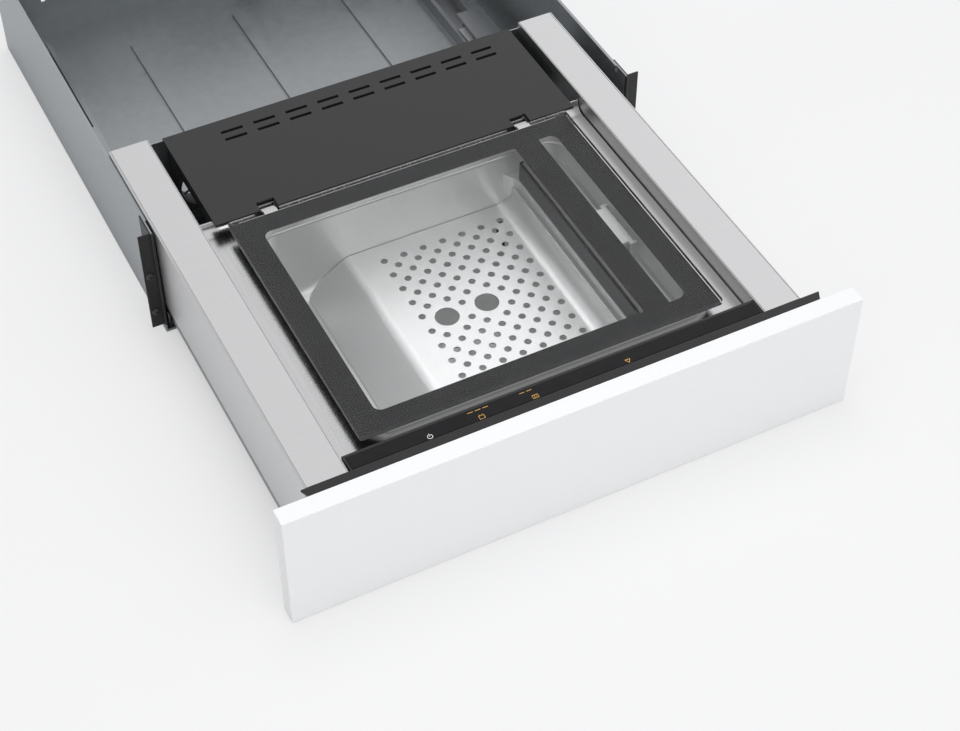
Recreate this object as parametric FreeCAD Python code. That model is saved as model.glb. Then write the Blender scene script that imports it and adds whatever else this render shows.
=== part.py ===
import FreeCAD, Part
import math
import os

# Built-in vacuum sealing drawer for a low kitchen niche, modelled fully open with its lid closed.
# Millimetres. X runs to the right, Y to the rear, Z up. The origin is the centre of the housing base.
# The drawer is described in its own frame, with Y = 0 on the back of the front panel, then moved out.

# Housing and travel
HOUSING_DEPTH = 525.3
HOUSING_HALF = 268.0
HOUSING_TOP = 138.0
SHEET = 1.5
TRAVEL = 371.2
CLOSED_GAP = 3.5
HOUSING_FRONT = -HOUSING_DEPTH / 2
HOUSING_REAR = HOUSING_DEPTH / 2
DRAWER_CLOSED_Y = HOUSING_FRONT - CLOSED_GAP
DRAWER_Y = DRAWER_CLOSED_Y - TRAVEL

# Mounting flanges at the housing's front
FLANGE_OUT = 281.5
FLANGE_LOW = 12.5
FLANGE_LEG = 30.0
BEAD_WIDTH = 3.5
BEAD_DEPTH = 3.0
SCREW_X = 275.5
SCREW_Z = (33.5, 83.1)
SCREW_HOLE_R = 2.25

# Mains gland in the housing's back
INLET_X = 150.0
INLET_Z = 40.0
INLET_R = 9.0
GLAND_R = 13.0
GLAND_BORE_R = 4.2

# Front panel, its carrier and the control strip
PANEL_WIDTH = 596.0
PANEL_HEIGHT = 142.0
PANEL_THICK = 19.4
PANEL_EASE = 1.0
CARRIER_T = 1.5
ADJUSTER_XS = (-200.0, 200.0)
ADJUSTER_ZS = (40.0, 95.0)
ADJUSTER_R = 2.5
ADJUSTER_DEPTH = 13.0
BAR_LEFT = -267.9
BAR_RIGHT = 266.2
BAR_DEPTH = 9.1
BAR_LOW = 138.6
STRIP_LEFT = -219.4
STRIP_RIGHT = 205.3
STRIP_TOP = 139.2
STRIP_REAR = 31.8
GLASS_FRONT = 11.9
GLASS_REAR = 27.0
GLASS_THICK = 3.0

# Drawer box
WALL_LEFT = -264.4
WALL_LEFT_INNER = -222.2
WALL_RIGHT_INNER = 205.3
WALL_RIGHT = 246.2
WALL_TOP = 142.0
WALL_BOTTOM = 38.0
WALL_SHEET = 1.2
DRAWER_REAR = 505.0
REAR_FACE = DRAWER_REAR - SHEET
FLOOR_Z = 12.0
FLOOR_TOP = FLOOR_Z + SHEET
DECK_TOP = 122.5
DECK_SHEET = 1.2
DECK_FRONT = 28.0
DECK_REAR = 366.6
DECK_ROLL = 10.0
UPSTAND_TOP = 134.6

# Chamber
CHAMBER_SHEET = 1.2
CHAMBER_LEFT = -172.0
CHAMBER_STEP = 110.0
CHAMBER_RIGHT = 163.0
CHAMBER_FRONT = 56.0
CHAMBER_REAR = 334.0
CHAMBER_CORNER = 18.0
CHAMBER_FLOOR = 27.0
FLOOR_ROUND = 18.0
SHELF_Z = 96.0
SHELF_ROUND = 7.0
RIM_TOP = 129.5
RIM_LEFT = -186.0
RIM_RIGHT = 177.0
RIM_FRONT = 44.0
RIM_REAR = 343.0
RIM_CORNER = 26.0
RIM_ROUND = 2.0
ROLL_ROUND = 2.5

# Lid, its seal and its hinge
LID_LEFT = -197.0
LID_RIGHT = 180.0
LID_FRONT = 40.0
LID_REAR = 351.0
LID_TOP = 142.0
LID_THICK = 6.3
LID_UNDER = LID_TOP - LID_THICK
MASK_THICK = 0.4
MASK_UNDER = LID_UNDER - MASK_THICK
SEAL_LEFT = -182.0
SEAL_RIGHT = 173.0
SEAL_FRONT = 47.0
SEAL_REAR = 342.0
SEAL_WIDTH = 7.0
SEAL_CORNER = 24.0
HINGE_Y = 362.0
HINGE_Z = 130.0
HINGE_XS = (-150.0, 133.0)
HINGE_ARM = 14.0
HINGE_POCKET = 13.0
EAR_THICK = 4.0
EAR_GAP = 0.4
PIN_R = 2.0
EYE_R = 3.6

# Windows of the lid's print: left, right, front, rear as they look from above.
# The glass shifts what lies under it, so the print is set off by as much.
WINDOW_MAIN = (-171.0, 107.2, 62.5, 324.0)
WINDOW_SLOT = (134.6, 153.6, 62.2, 324.8)
WINDOW_SHIFT_X = 1.4
WINDOW_SHIFT_Y = 2.8
WINDOW_ROUND = 8.0
WINDOW_TIGHT = 3.0

# Perforated insert
INSERT_TOP = 59.4
INSERT_SHEET = 1.5
INSERT_FRONT = 57.5
INSERT_REAR = 332.0
INSERT_RIGHT = 105.5
INSERT_CURL_TOP = 84.0
INSERT_GAP = 0.6
RAMP_ANGLE = 33.0
RAMP_CORNER_X = -82.0
RAMP_BEND = 21.0
RAMP_FOOT_Z = 28.8
CURL_BEND = 17.0
HOLE_PITCH = 22.15
HOLE_R = 3.8
FINGER_R = 12.5
HOLE_X0 = -49.8
HOLE_Y0 = 309.8
HOLE_COLUMNS = 7
HOLE_ROWS = 11
FINGER_COLUMNS = (1, 3)
FINGER_ROW = 4.5
FOOT_XS = (-60.0, 82.0)
FOOT_YS = (84.0, 306.0)
FOOT_R = 4.5

# Sealing bar on the chamber's shelf
BAR_X = 121.0
BAR_FRONT_Y = 70.0
BAR_REAR_Y = 320.0
BAR_BASE_Z = SHELF_Z + 5.0
BAR_HEIGHT = 21.5
BAND_WIDTH = 8.0
BAND_THICK = 0.8
PISTON_R = 3.0
PISTON_GAP = 0.1
PISTON_YS = (110.0, 280.0)
PISTON_LOW = 62.0
CYLINDER_R = 9.0

# Bag clip in the trough beside the bar
CLIP_X0 = 142.0
CLIP_X1 = 156.0
CLIP_Y0 = 163.0
CLIP_Y1 = 225.0
CLIP_PIN_X = 155.0
CLIP_PIN_Z = 118.0
CLIP_PIN_R = 1.5
CLIP_EAR = 4.0

# Runners
RUNNER_WIDTH = 36.0
RUNNER_XS = {"left": -244.0, "right": 226.0}
RUNNER_LENGTH = 480.0
RUNNER_CLOSED_Y = HOUSING_FRONT + 7.3
RAIL_T = 2.0
RAIL_LIP = 5.0
RAIL_Z0 = 2 * SHEET
RAIL_SPLIT = 20.0
RAIL_TOP = WALL_BOTTOM
BEAM_HALF = 10.0
BEAM_T = 3.0
BEAM_GAP = 2.5
GLIDE_GAP = 0.3
GLIDE_LENGTH = 26.0
GLIDE_HEIGHT = 8.0

# Rear cover over the machine space
COVER_LEFT = -207.0
COVER_RIGHT = 193.5
COVER_FRONT = 357.0
COVER_TOP = 137.6
COVER_T = 3.0
COVER_UNDER = COVER_TOP - COVER_T
NOTCH = HINGE_ARM / 2 + 2.5

# Push-to-open latch and rear stops
STOP_GAP = 0.4
STOP_Y = DRAWER_CLOSED_Y + DRAWER_REAR + STOP_GAP
LATCH_X = 40.0
LATCH_Z = 28.0
LATCH_REAR = HOUSING_REAR - SHEET
LATCH_DEPTH = 12.0
PLUNGER_R = 4.0

# Machine space behind the chamber
PUMP_X = -95.0
PUMP_Y = 432.0
PUMP_LOW = 40.0
PUMP_TOP = 92.0
CASE_HALF = 33.0
CASE_DEPTH = 30.0
MOTOR_Z = 66.0
MOTOR_R = 33.0
MOTOR_LENGTH = 92.0
MOUNT_H = 10.0
MOUNT_R = 6.0
SUCTION_X = -20.0
SUCTION_Z = 112.0
SUCTION_R = 7.0
HOSE_R = 5.5
HOSE_BEND = 7.0
VALVE_FRONT = 370.0
VALVE_Y = 387.0
FAN_X = -172.0
FAN_Z = 78.0
FAN_R = 28.0
FAN_HALF = 30.0
FAN_DEPTH = 20.0
FAN_BLADES = 7

V = FreeCAD.Vector
ORIGIN = V(0, 0, 0)
UP = V(0, 0, 1)
BACK = V(0, 1, 0)
RIGHT = V(1, 0, 0)
CLOSE = 1e-4


# Helpers

def block(x0, x1, y0, y1, z0, z1):
    return Part.makeBox(x1 - x0, y1 - y0, z1 - z0, V(x0, y0, z0))


def rod(radius, length, base, axis=UP):
    return Part.makeCylinder(radius, length, V(*base), axis)


def joined(shapes):
    shape = shapes[0]
    if len(shapes) > 1:
        shape = shape.multiFuse(shapes[1:])
    return shape.removeSplitter()


def edges_along(solid, axis, test):
    # Straight edges along an axis whose middle passes the test.
    found = []
    for edge in solid.Edges:
        if edge.Curve.TypeId != "Part::GeomLine":
            continue
        direction = edge.Vertexes[1].Point - edge.Vertexes[0].Point
        if direction.cross(axis).Length < CLOSE * direction.Length and test(edge.CenterOfMass):
            found.append(edge)
    return found


def edges_at_height(solid, z):
    return [e for e in solid.Edges if all(abs(v.Z - z) < CLOSE for v in e.Vertexes)]


def rounded(x0, x1, y0, y1, z0, z1, radius):
    # A plate or block with its four upright edges rounded.
    solid = block(x0, x1, y0, y1, z0, z1)
    return solid.makeFillet(radius, edges_along(solid, UP, lambda c: True))


def section(points):
    return Part.Face(Part.makePolygon([V(*p) for p in points + points[:1]]))


def profile_along_y(points, y0, y1):
    # Points are (x, z); the section runs from y0 to y1.
    return section([(x, y0, z) for x, z in points]).extrude(V(0, y1 - y0, 0))


def profile_along_x(points, x0, x1):
    # Points are (y, z); the section runs from x0 to x1.
    return section([(x0, y, z) for y, z in points]).extrude(V(x1 - x0, 0, 0))


def prism(sides, radius, length, base, axis):
    # A regular prism along Y or Z.
    points = []
    for i in range(sides):
        a = 2 * math.pi * (i + 0.5) / sides
        across = radius * math.cos(a)
        other = radius * math.sin(a)
        step = V(across, 0, other) if axis == BACK else V(across, other, 0)
        points.append(tuple(V(*base) + step))
    return section(points).extrude(axis * length)


def mirrored_if_left(shape, side):
    return shape.mirror(ORIGIN, RIGHT) if side == "left" else shape


def from_drawer(shape):
    return shape.translated(V(0, DRAWER_Y, 0))


def save(name, shape):
    if not shape.isValid():
        print("invalid shape:", name)
    shape.exportStep("parts/" + name + ".step")


# Sheet bent about Y

def bent_sheet(corners, thickness, y0, y1):
    # Corners of the upper face are (x, z, bend radius); the thickness lies below them.
    upper = bend_runs(corners, 0.0)
    lower = bend_runs(corners, thickness)
    start = Part.LineSegment(upper[0][0], lower[0][0]).toShape()
    end = Part.LineSegment(upper[-1][-1], lower[-1][-1]).toShape()
    edges = [start, end] + run_edges(upper) + run_edges(lower)
    loop = Part.Wire(Part.__sortEdges__(edges))
    return Part.Face(loop).extrude(V(0, y1 - y0, 0)).translated(V(0, y0, 0))


def bend_runs(corners, depth):
    # The outline moved down by depth, as runs of two points and arcs of three.
    points = [V(x, 0, z) for x, z, _ in corners]
    alongs = [(b - a).normalize() for a, b in zip(points, points[1:])]
    downs = [V(d.z, 0, -d.x) for d in alongs]
    runs = []
    here = points[0] + downs[0] * depth
    for i in range(1, len(points) - 1):
        before, after = alongs[i - 1], alongs[i]
        turns_up = before.x * after.z - before.z * after.x > 0
        radius = corners[i][2] + (depth if turns_up else -depth)
        half = before.getAngle(after) / 2
        shift = (downs[i - 1] + downs[i]) * (depth / (1 + downs[i - 1].dot(downs[i])))
        corner = points[i] + shift
        reach = radius * math.tan(half)
        start = corner - before * reach
        end = corner + after * reach
        middle = corner + (after - before).normalize() * (radius / math.cos(half) - radius)
        runs.append((here, start))
        runs.append((start, middle, end))
        here = end
    runs.append((here, points[-1] + downs[-1] * depth))
    return runs


def run_edges(runs):
    edges = []
    for run in runs:
        curve = Part.Arc(*run) if len(run) == 3 else Part.LineSegment(*run)
        edges.append(curve.toShape())
    return edges


def hose_along(points, radius, bend):
    # Straight runs of hose joined by quarter-turn elbows or gentler ones.
    route = [V(*p) for p in points]
    pieces = []
    here = route[0]
    for before, corner, after in zip(route, route[1:], route[2:]):
        incoming = (corner - before).normalize()
        outgoing = (after - corner).normalize()
        turn = incoming.getAngle(outgoing)
        reach = bend * math.tan(turn / 2)
        start = corner - incoming * reach
        axis = incoming.cross(outgoing).normalize()
        centre = start + axis.cross(incoming) * bend
        pieces.append(rod(radius, (start - here).Length, tuple(here), incoming))
        disc = Part.Face(Part.Wire(Part.makeCircle(radius, start, incoming)))
        pieces.append(disc.revolve(centre, axis, math.degrees(turn)))
        here = corner + outgoing * reach
    last = route[-1] - here
    pieces.append(rod(radius, last.Length, tuple(here), last))
    return joined(pieces)


# Housing

def housing_base():
    # Floor sheet with three pressed stiffening beads.
    plate = block(-HOUSING_HALF, HOUSING_HALF, HOUSING_FRONT, HOUSING_REAR, 0, SHEET)
    bead_half = 8.0
    bead_height = 3.0
    end_gap = 60.0
    beads = []
    for x in (-130, 0, 130):
        beads.append(rounded(x - bead_half, x + bead_half, HOUSING_FRONT + end_gap, HOUSING_REAR - end_gap,
                             SHEET, SHEET + bead_height, bead_half - 0.1))
    return joined([plate] + beads)


def housing_side(side):
    # Upright sheet with an inward foot under the runner and a hemmed stiffening fold at the top.
    sign = -1 if side == "left" else 1
    rear = HOUSING_REAR - SHEET
    outer = HOUSING_HALF
    inner = outer - SHEET
    foot = sign * RUNNER_XS[side] - RUNNER_WIDTH / 2 - 4
    hem_height = 8.0
    hem_gap = 20.0
    wall = block(inner, outer, HOUSING_FRONT, rear, SHEET, HOUSING_TOP)
    flat = block(foot, inner, HOUSING_FRONT, rear, SHEET, 2 * SHEET)
    hem = block(inner - SHEET, inner, HOUSING_FRONT + hem_gap, HOUSING_REAR - hem_gap,
                HOUSING_TOP - hem_height, HOUSING_TOP)
    return mirrored_if_left(joined([wall, flat, hem]), side)


def housing_back():
    # Rear sheet with a fold along its top, a field of air slots and the mains gland's hole.
    inner = HOUSING_REAR - SHEET
    fold_depth = 12.0
    side_gap = 2.0
    slot_half = 2.5
    slot_low, slot_high = 50.0, 92.0
    back = block(-HOUSING_HALF, HOUSING_HALF, inner, HOUSING_REAR, SHEET, HOUSING_TOP)
    fold = block(-HOUSING_HALF + side_gap, HOUSING_HALF - side_gap, HOUSING_REAR - fold_depth, inner,
                 HOUSING_TOP - SHEET, HOUSING_TOP)
    slots = []
    for column in range(12):
        x = -216 + column * 13
        slots.append(block(x - slot_half, x + slot_half, inner - 1, HOUSING_REAR + 1, slot_low, slot_high))
    back = joined([back, fold]).cut(Part.makeCompound(slots))
    return back.cut(rod(INLET_R, SHEET + 2, (INLET_X, inner - 1, INLET_Z), BACK))


def front_flange(side):
    # Mounting strip: a leg along the housing side, a front face with screw holes and a rolled bead.
    front = HOUSING_FRONT
    leg_y = front + FLANGE_LEG
    leg = block(HOUSING_HALF, HOUSING_HALF + SHEET, front + SHEET, leg_y, FLANGE_LOW, HOUSING_TOP)
    face = block(HOUSING_HALF, FLANGE_OUT, front, front + SHEET, FLANGE_LOW, HOUSING_TOP)
    bead_x = HOUSING_HALF + 1.0
    bead = block(bead_x - BEAD_WIDTH, bead_x, front - BEAD_DEPTH, front, FLANGE_LOW, HOUSING_TOP)
    bead = bead.makeFillet(1.6, edges_along(bead, UP, lambda c: c.y < front - BEAD_DEPTH + 1))
    strip = joined([leg, face, bead])
    for z in SCREW_Z:
        strip = strip.cut(rod(SCREW_HOLE_R, SHEET + 2, (SCREW_X, front - 1, z), BACK))
    return mirrored_if_left(strip, side)


def mains_inlet():
    # Cable gland with a stepped collar outside and its nut inside the back.
    inner = HOUSING_REAR - SHEET
    nut_length = 5.0
    collar_length = 6.0
    body = rod(INLET_R, SHEET + 0.2, (INLET_X, inner - 0.1, INLET_Z), BACK)
    nut = prism(6, GLAND_R, nut_length, (INLET_X, inner - nut_length, INLET_Z), BACK)
    collar = prism(6, GLAND_R, collar_length, (INLET_X, HOUSING_REAR, INLET_Z), BACK)
    dome = rod(INLET_R - 0.5, 2 * collar_length, (INLET_X, HOUSING_REAR, INLET_Z), BACK)
    bore = rod(GLAND_BORE_R, 30, (INLET_X, HOUSING_REAR - 10, INLET_Z), BACK)
    return joined([body, nut, collar, dome]).cut(bore)


def rear_buffers():
    # Two rubber stops that the closed drawer's back rests against.
    length = HOUSING_REAR - SHEET - STOP_Y
    return Part.makeCompound([rod(7.0, length, (x, STOP_Y, 75), BACK) for x in (-180, 165)])


def push_latch_body():
    # Push-to-open unit on the housing base: a block with a guide bore for its plunger.
    half_width = 14.0
    y0 = LATCH_REAR - LATCH_DEPTH
    top = LATCH_Z + 12.0
    body = rounded(LATCH_X - half_width, LATCH_X + half_width, y0, LATCH_REAR, SHEET, top, 3)
    return body.cut(rod(PLUNGER_R + 0.1, LATCH_DEPTH, (LATCH_X, y0 - 1, LATCH_Z), BACK))


def latch_plunger():
    # Pin with a slimmer tip.
    tip = 1.5
    rear = LATCH_REAR - LATCH_DEPTH / 2 + 0.5
    stem = rod(PLUNGER_R, rear - STOP_Y - tip, (LATCH_X, STOP_Y + tip, LATCH_Z), BACK)
    nose = rod(PLUNGER_R - 1, tip, (LATCH_X, STOP_Y, LATCH_Z), BACK)
    return joined([stem, nose])


# Runners: fixed channel, middle beam and drawer channel, all inside one section

def runner_channel(side, z_web, z_lip, y0):
    # A channel open towards z_lip, with both lips turned in.
    x = RUNNER_XS[side]
    half = RUNNER_WIDTH / 2
    t = RAIL_T if z_lip > z_web else -RAIL_T
    wall = half - RAIL_T
    lip = half - RAIL_LIP
    right = [(half, z_web), (half, z_lip), (lip, z_lip), (lip, z_lip - t), (wall, z_lip - t),
             (wall, z_web + t)]
    left = [(-across, z) for across, z in reversed(right)]
    points = [(x + across, z) for across, z in right + left]
    return profile_along_y(points, y0, y0 + RUNNER_LENGTH)


def runner_fixed(side):
    return runner_channel(side, RAIL_Z0, RAIL_SPLIT - 0.5, RUNNER_CLOSED_Y)


def runner_inner(side):
    return runner_channel(side, RAIL_TOP, RAIL_SPLIT + 0.5, RUNNER_CLOSED_Y - TRAVEL)


def runner_middle(side):
    # I-beam that runs in both channels.
    x = RUNNER_XS[side]
    z0 = RAIL_Z0 + RAIL_T + BEAM_GAP
    z1 = RAIL_TOP - RAIL_T - BEAM_GAP
    web = RAIL_T
    right = [(BEAM_HALF, z0), (BEAM_HALF, z0 + BEAM_T), (web, z0 + BEAM_T), (web, z1 - BEAM_T),
             (BEAM_HALF, z1 - BEAM_T), (BEAM_HALF, z1)]
    left = [(-across, z) for across, z in reversed(right)]
    points = [(x + across, z) for across, z in right + left]
    y0 = RUNNER_CLOSED_Y - TRAVEL / 2
    return profile_along_y(points, y0, y0 + RUNNER_LENGTH)


def runner_glides(side):
    # Plastic guide shoes clipped round the beam: the lower ones at its rear, the upper at its front.
    x = RUNNER_XS[side]
    half = RUNNER_WIDTH / 2 - RAIL_T - GLIDE_GAP
    front = RUNNER_CLOSED_Y - TRAVEL / 2
    low = RAIL_Z0 + RAIL_T + GLIDE_GAP
    high = RAIL_TOP - RAIL_T - GLIDE_GAP
    beam = runner_middle(side)
    shoes = []
    for z0, offsets in ((low, (240.0, 450.0)), (high - GLIDE_HEIGHT, (4.0, 200.0))):
        for offset in offsets:
            y = front + offset
            shoe = block(x - half, x + half, y, y + GLIDE_LENGTH, z0, z0 + GLIDE_HEIGHT)
            shoes += shoe.cut(beam).Solids
    return Part.makeCompound(shoes)


# Drawer box

def side_wall(side):
    # Hollow folded wall of brushed sheet with rounded long edges and a shadow groove in its top.
    left = side == "left"
    x0, x1 = (WALL_LEFT, WALL_LEFT_INNER) if left else (WALL_RIGHT_INNER, WALL_RIGHT)
    groove_width = 0.8
    groove_inset = 3.2
    outer = block(x0, x1, BAR_DEPTH, REAR_FACE, WALL_BOTTOM, WALL_TOP)
    outer = outer.makeFillet(1.5, edges_along(outer, BACK, lambda c: c.z > WALL_TOP - 1))
    s = WALL_SHEET
    inner = block(x0 + s, x1 - s, BAR_DEPTH - 1, DRAWER_REAR, WALL_BOTTOM + s, WALL_TOP - s)
    groove_x = x1 - groove_inset - groove_width if left else x0 + groove_inset
    groove = block(groove_x, groove_x + groove_width, BAR_DEPTH, DRAWER_REAR, WALL_TOP - 0.7, WALL_TOP + 1)
    return outer.cut(inner).cut(groove)


def drawer_floor():
    # Shallow tray between the runners, with a lip at each side and air slots near the rear.
    x0 = RUNNER_XS["left"] + RUNNER_WIDTH / 2 + 6
    x1 = RUNNER_XS["right"] - RUNNER_WIDTH / 2 - 4
    lip_top = FLOOR_Z + 10
    plate = block(x0, x1, BAR_DEPTH, REAR_FACE, FLOOR_Z, FLOOR_TOP)
    lips = [block(x0, x0 + SHEET, BAR_DEPTH, REAR_FACE, FLOOR_TOP, lip_top),
            block(x1 - SHEET, x1, BAR_DEPTH, REAR_FACE, FLOOR_TOP, lip_top)]
    vents = [block(x, x + 60, 478, 484, FLOOR_Z - 1, FLOOR_TOP + 1) for x in (-120, -30, 60)]
    return joined([plate] + lips).cut(Part.makeCompound(vents))


def drawer_back():
    # Rear plate of the drawer with the fan opening and a cable slot, notched over the runners.
    plate = block(WALL_LEFT, WALL_RIGHT, REAR_FACE, DRAWER_REAR, FLOOR_Z, 134)
    y0, y1 = REAR_FACE - 1, DRAWER_REAR + 1
    notches = [block(WALL_LEFT - 1, WALL_LEFT_INNER, y0, y1, FLOOR_Z - 1, WALL_BOTTOM),
               block(WALL_RIGHT_INNER, WALL_RIGHT + 1, y0, y1, FLOOR_Z - 1, WALL_BOTTOM)]
    fan_hole = rod(FAN_R + 1, y1 - y0, (FAN_X, y0, FAN_Z), BACK)
    slot_z, slot_r = 30.0, 8.0
    ends = [rod(slot_r, y1 - y0, (x, y0, slot_z), BACK) for x in (110, 150)]
    middle = block(110, 150, y0, y1, slot_z - slot_r, slot_z + slot_r)
    return plate.cut(Part.makeCompound(notches + [fan_hole])).cut(joined(ends + [middle]))


def deck():
    # Top sheet of the drawer: flat, cut out for the chamber, rolled up into the rear upstand.
    s = DECK_SHEET
    x0, x1 = WALL_LEFT_INNER, WALL_RIGHT_INNER
    bend_y = DECK_REAR - DECK_ROLL
    bend_z = DECK_TOP + DECK_ROLL
    half_turn = math.sqrt(0.5)
    low_r = DECK_ROLL + s

    def at(y, z):
        return V(x0, y, z)

    def on_bend(radius):
        return at(bend_y + radius * half_turn, bend_z - radius * half_turn)

    runs = [(at(DECK_FRONT, DECK_TOP), at(bend_y, DECK_TOP)),
            (at(bend_y, DECK_TOP), on_bend(DECK_ROLL), at(DECK_REAR, bend_z)),
            (at(DECK_REAR, bend_z), at(DECK_REAR, UPSTAND_TOP)),
            (at(DECK_REAR, UPSTAND_TOP), at(DECK_REAR + s, UPSTAND_TOP)),
            (at(DECK_REAR + s, UPSTAND_TOP), at(DECK_REAR + s, bend_z)),
            (at(DECK_REAR + s, bend_z), on_bend(low_r), at(bend_y, DECK_TOP - s)),
            (at(bend_y, DECK_TOP - s), at(DECK_FRONT, DECK_TOP - s)),
            (at(DECK_FRONT, DECK_TOP - s), at(DECK_FRONT, DECK_TOP))]
    sheet = Part.Face(Part.Wire(run_edges(runs))).extrude(V(x1 - x0, 0, 0))
    m = CHAMBER_SHEET + 1.3
    opening = rounded(CHAMBER_LEFT - m, CHAMBER_RIGHT + m, CHAMBER_FRONT - m, CHAMBER_REAR + m,
                      DECK_TOP - 5, DECK_TOP + 5, CHAMBER_CORNER + m)
    pockets = []
    pocket_top = HINGE_Z + 1.5
    for x in HINGE_XS:
        pockets.append(block(x - HINGE_POCKET, x + HINGE_POCKET, HINGE_Y - 7, DECK_REAR + 3,
                             DECK_TOP - 3, pocket_top))
    return sheet.cut(Part.makeCompound([opening] + pockets))


# Chamber

def chamber_space(grow):
    # The hollow of the stepped tub. With grow > 0 it is the outside of the drawn sheet.
    corner = CHAMBER_CORNER + grow
    top = RIM_TOP - CHAMBER_SHEET if grow > 0 else RIM_TOP + 1
    front, rear = CHAMBER_FRONT - grow, CHAMBER_REAR + grow
    well = rounded(CHAMBER_LEFT - grow, CHAMBER_STEP + grow, front, rear, CHAMBER_FLOOR - grow, top, corner)
    well = well.makeFillet(FLOOR_ROUND + grow, edges_at_height(well, CHAMBER_FLOOR - grow))
    shelf = rounded(CHAMBER_STEP - 60, CHAMBER_RIGHT + grow, front, rear, SHELF_Z - grow, top, corner)
    shelf = shelf.makeFillet(SHELF_ROUND + grow, edges_at_height(shelf, SHELF_Z - grow))
    return joined([well, shelf])


def chamber():
    # Stepped deep-drawn tub: a deep main well, a shallow shelf beside it and a raised, rolled rim.
    s = CHAMBER_SHEET
    rim = rounded(RIM_LEFT, RIM_RIGHT, RIM_FRONT, RIM_REAR, DECK_TOP, RIM_TOP, RIM_CORNER)
    rim = rim.makeFillet(RIM_ROUND, edges_at_height(rim, RIM_TOP))
    under = rounded(RIM_LEFT + s, RIM_RIGHT - s, RIM_FRONT + s, RIM_REAR - s, DECK_TOP - 1, RIM_TOP - s,
                    RIM_CORNER - s)
    tub = rim.cut(under).fuse(chamber_space(s)).cut(chamber_space(0)).removeSplitter()
    tub = tub.makeFillet(ROLL_ROUND, mouth_edges(tub))
    for y in PISTON_YS:
        tub = tub.cut(rod(PISTON_R + PISTON_GAP, 12, (BAR_X, y, SHELF_Z - 6)))
    return tub.cut(rod(SUCTION_R, 10, (SUCTION_X, CHAMBER_REAR - 6, SUCTION_Z), BACK))


def mouth_edges(tub):
    # The loop where the upright walls meet the flat rim.
    found = []
    for edge in edges_at_height(tub, RIM_TOP):
        c = edge.CenterOfMass
        if CHAMBER_LEFT - 1 < c.x < CHAMBER_RIGHT + 1 and CHAMBER_FRONT - 1 < c.y < CHAMBER_REAR + 1:
            found.append(edge)
    return found


def lid_seal():
    # Silicone ring on the rim: a broad foot and a slimmer lip that meets the lid.
    foot_height = 3.0
    lip_inset = 1.8
    foot = ring(0.0, SEAL_WIDTH, RIM_TOP, RIM_TOP + foot_height)
    lip = ring(lip_inset, SEAL_WIDTH - 2 * lip_inset, RIM_TOP + foot_height, MASK_UNDER)
    return joined([foot, lip])


def ring(inset, width, z0, z1):
    # A rounded frame that follows the seal's outline.
    m = inset
    n = inset + width
    outer = rounded(SEAL_LEFT + m, SEAL_RIGHT - m, SEAL_FRONT + m, SEAL_REAR - m,
                    z0, z1, SEAL_CORNER - m)
    inner = rounded(SEAL_LEFT + n, SEAL_RIGHT - n, SEAL_FRONT + n, SEAL_REAR - n,
                    z0 - 1, z1 + 1, SEAL_CORNER - n)
    return outer.cut(inner)


def seal_bar_carrier():
    # Plastic channel on the shelf that guides the sealing bar and keeps bags off its sides.
    half = 10.0
    slot_half = 7.3
    end = 4.0
    height = 21.0
    floor = 3.0
    outer = rounded(BAR_X - half, BAR_X + half, BAR_FRONT_Y - end, BAR_REAR_Y + end,
                    SHELF_Z, SHELF_Z + height, end)
    inner = block(BAR_X - slot_half, BAR_X + slot_half, BAR_FRONT_Y - 0.5, BAR_REAR_Y + 0.5,
                  SHELF_Z + floor, SHELF_Z + height + 1)
    bores = [rod(PISTON_R + PISTON_GAP, 12, (BAR_X, y, SHELF_Z - 6)) for y in PISTON_YS]
    return outer.cut(Part.makeCompound([inner] + bores))


def sealing_bar():
    # Aluminium bar with a narrower crown for the heating band.
    foot_half, crown_half = 7.0, 5.0
    z0 = BAR_BASE_Z
    right = [(foot_half, z0), (foot_half, z0 + 15), (crown_half, z0 + 19), (crown_half, z0 + BAR_HEIGHT)]
    left = [(-across, z) for across, z in reversed(right)]
    points = [(BAR_X + across, z) for across, z in right + left]
    return profile_along_y(points, BAR_FRONT_Y, BAR_REAR_Y)


def heating_strip():
    # Flat heating band over the bar, turned down over both ends.
    z = BAR_BASE_Z + BAR_HEIGHT
    x0, x1 = BAR_X - BAND_WIDTH / 2, BAR_X + BAND_WIDTH / 2
    end = 0.4
    turned = 8.0
    band = block(x0, x1, BAR_FRONT_Y - end, BAR_REAR_Y + end, z, z + BAND_THICK)
    ends = [block(x0, x1, BAR_FRONT_Y - end, BAR_FRONT_Y, z - turned, z),
            block(x0, x1, BAR_REAR_Y, BAR_REAR_Y + end, z - turned, z)]
    return joined([band] + ends)


def bar_pistons():
    length = BAR_BASE_Z - PISTON_LOW
    return Part.makeCompound([rod(PISTON_R, length, (BAR_X, y, PISTON_LOW)) for y in PISTON_YS])


def bar_cylinders():
    # Two lift cylinders hung under the shelf, each with a square flange.
    top = SHELF_Z - CHAMBER_SHEET
    flange = 4.0
    bottom = top - 48.0
    solids = []
    for y in PISTON_YS:
        body = rod(CYLINDER_R, top - bottom, (BAR_X + 1, y, bottom))
        plate = block(BAR_X - 8.5, BAR_X + 11, y - 10, y + 10, top - flange, top)
        bore = rod(PISTON_R + PISTON_GAP, top - bottom, (BAR_X, y, bottom + 9))
        solids.append(joined([body, plate]).cut(bore))
    return Part.makeCompound(solids)


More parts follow.
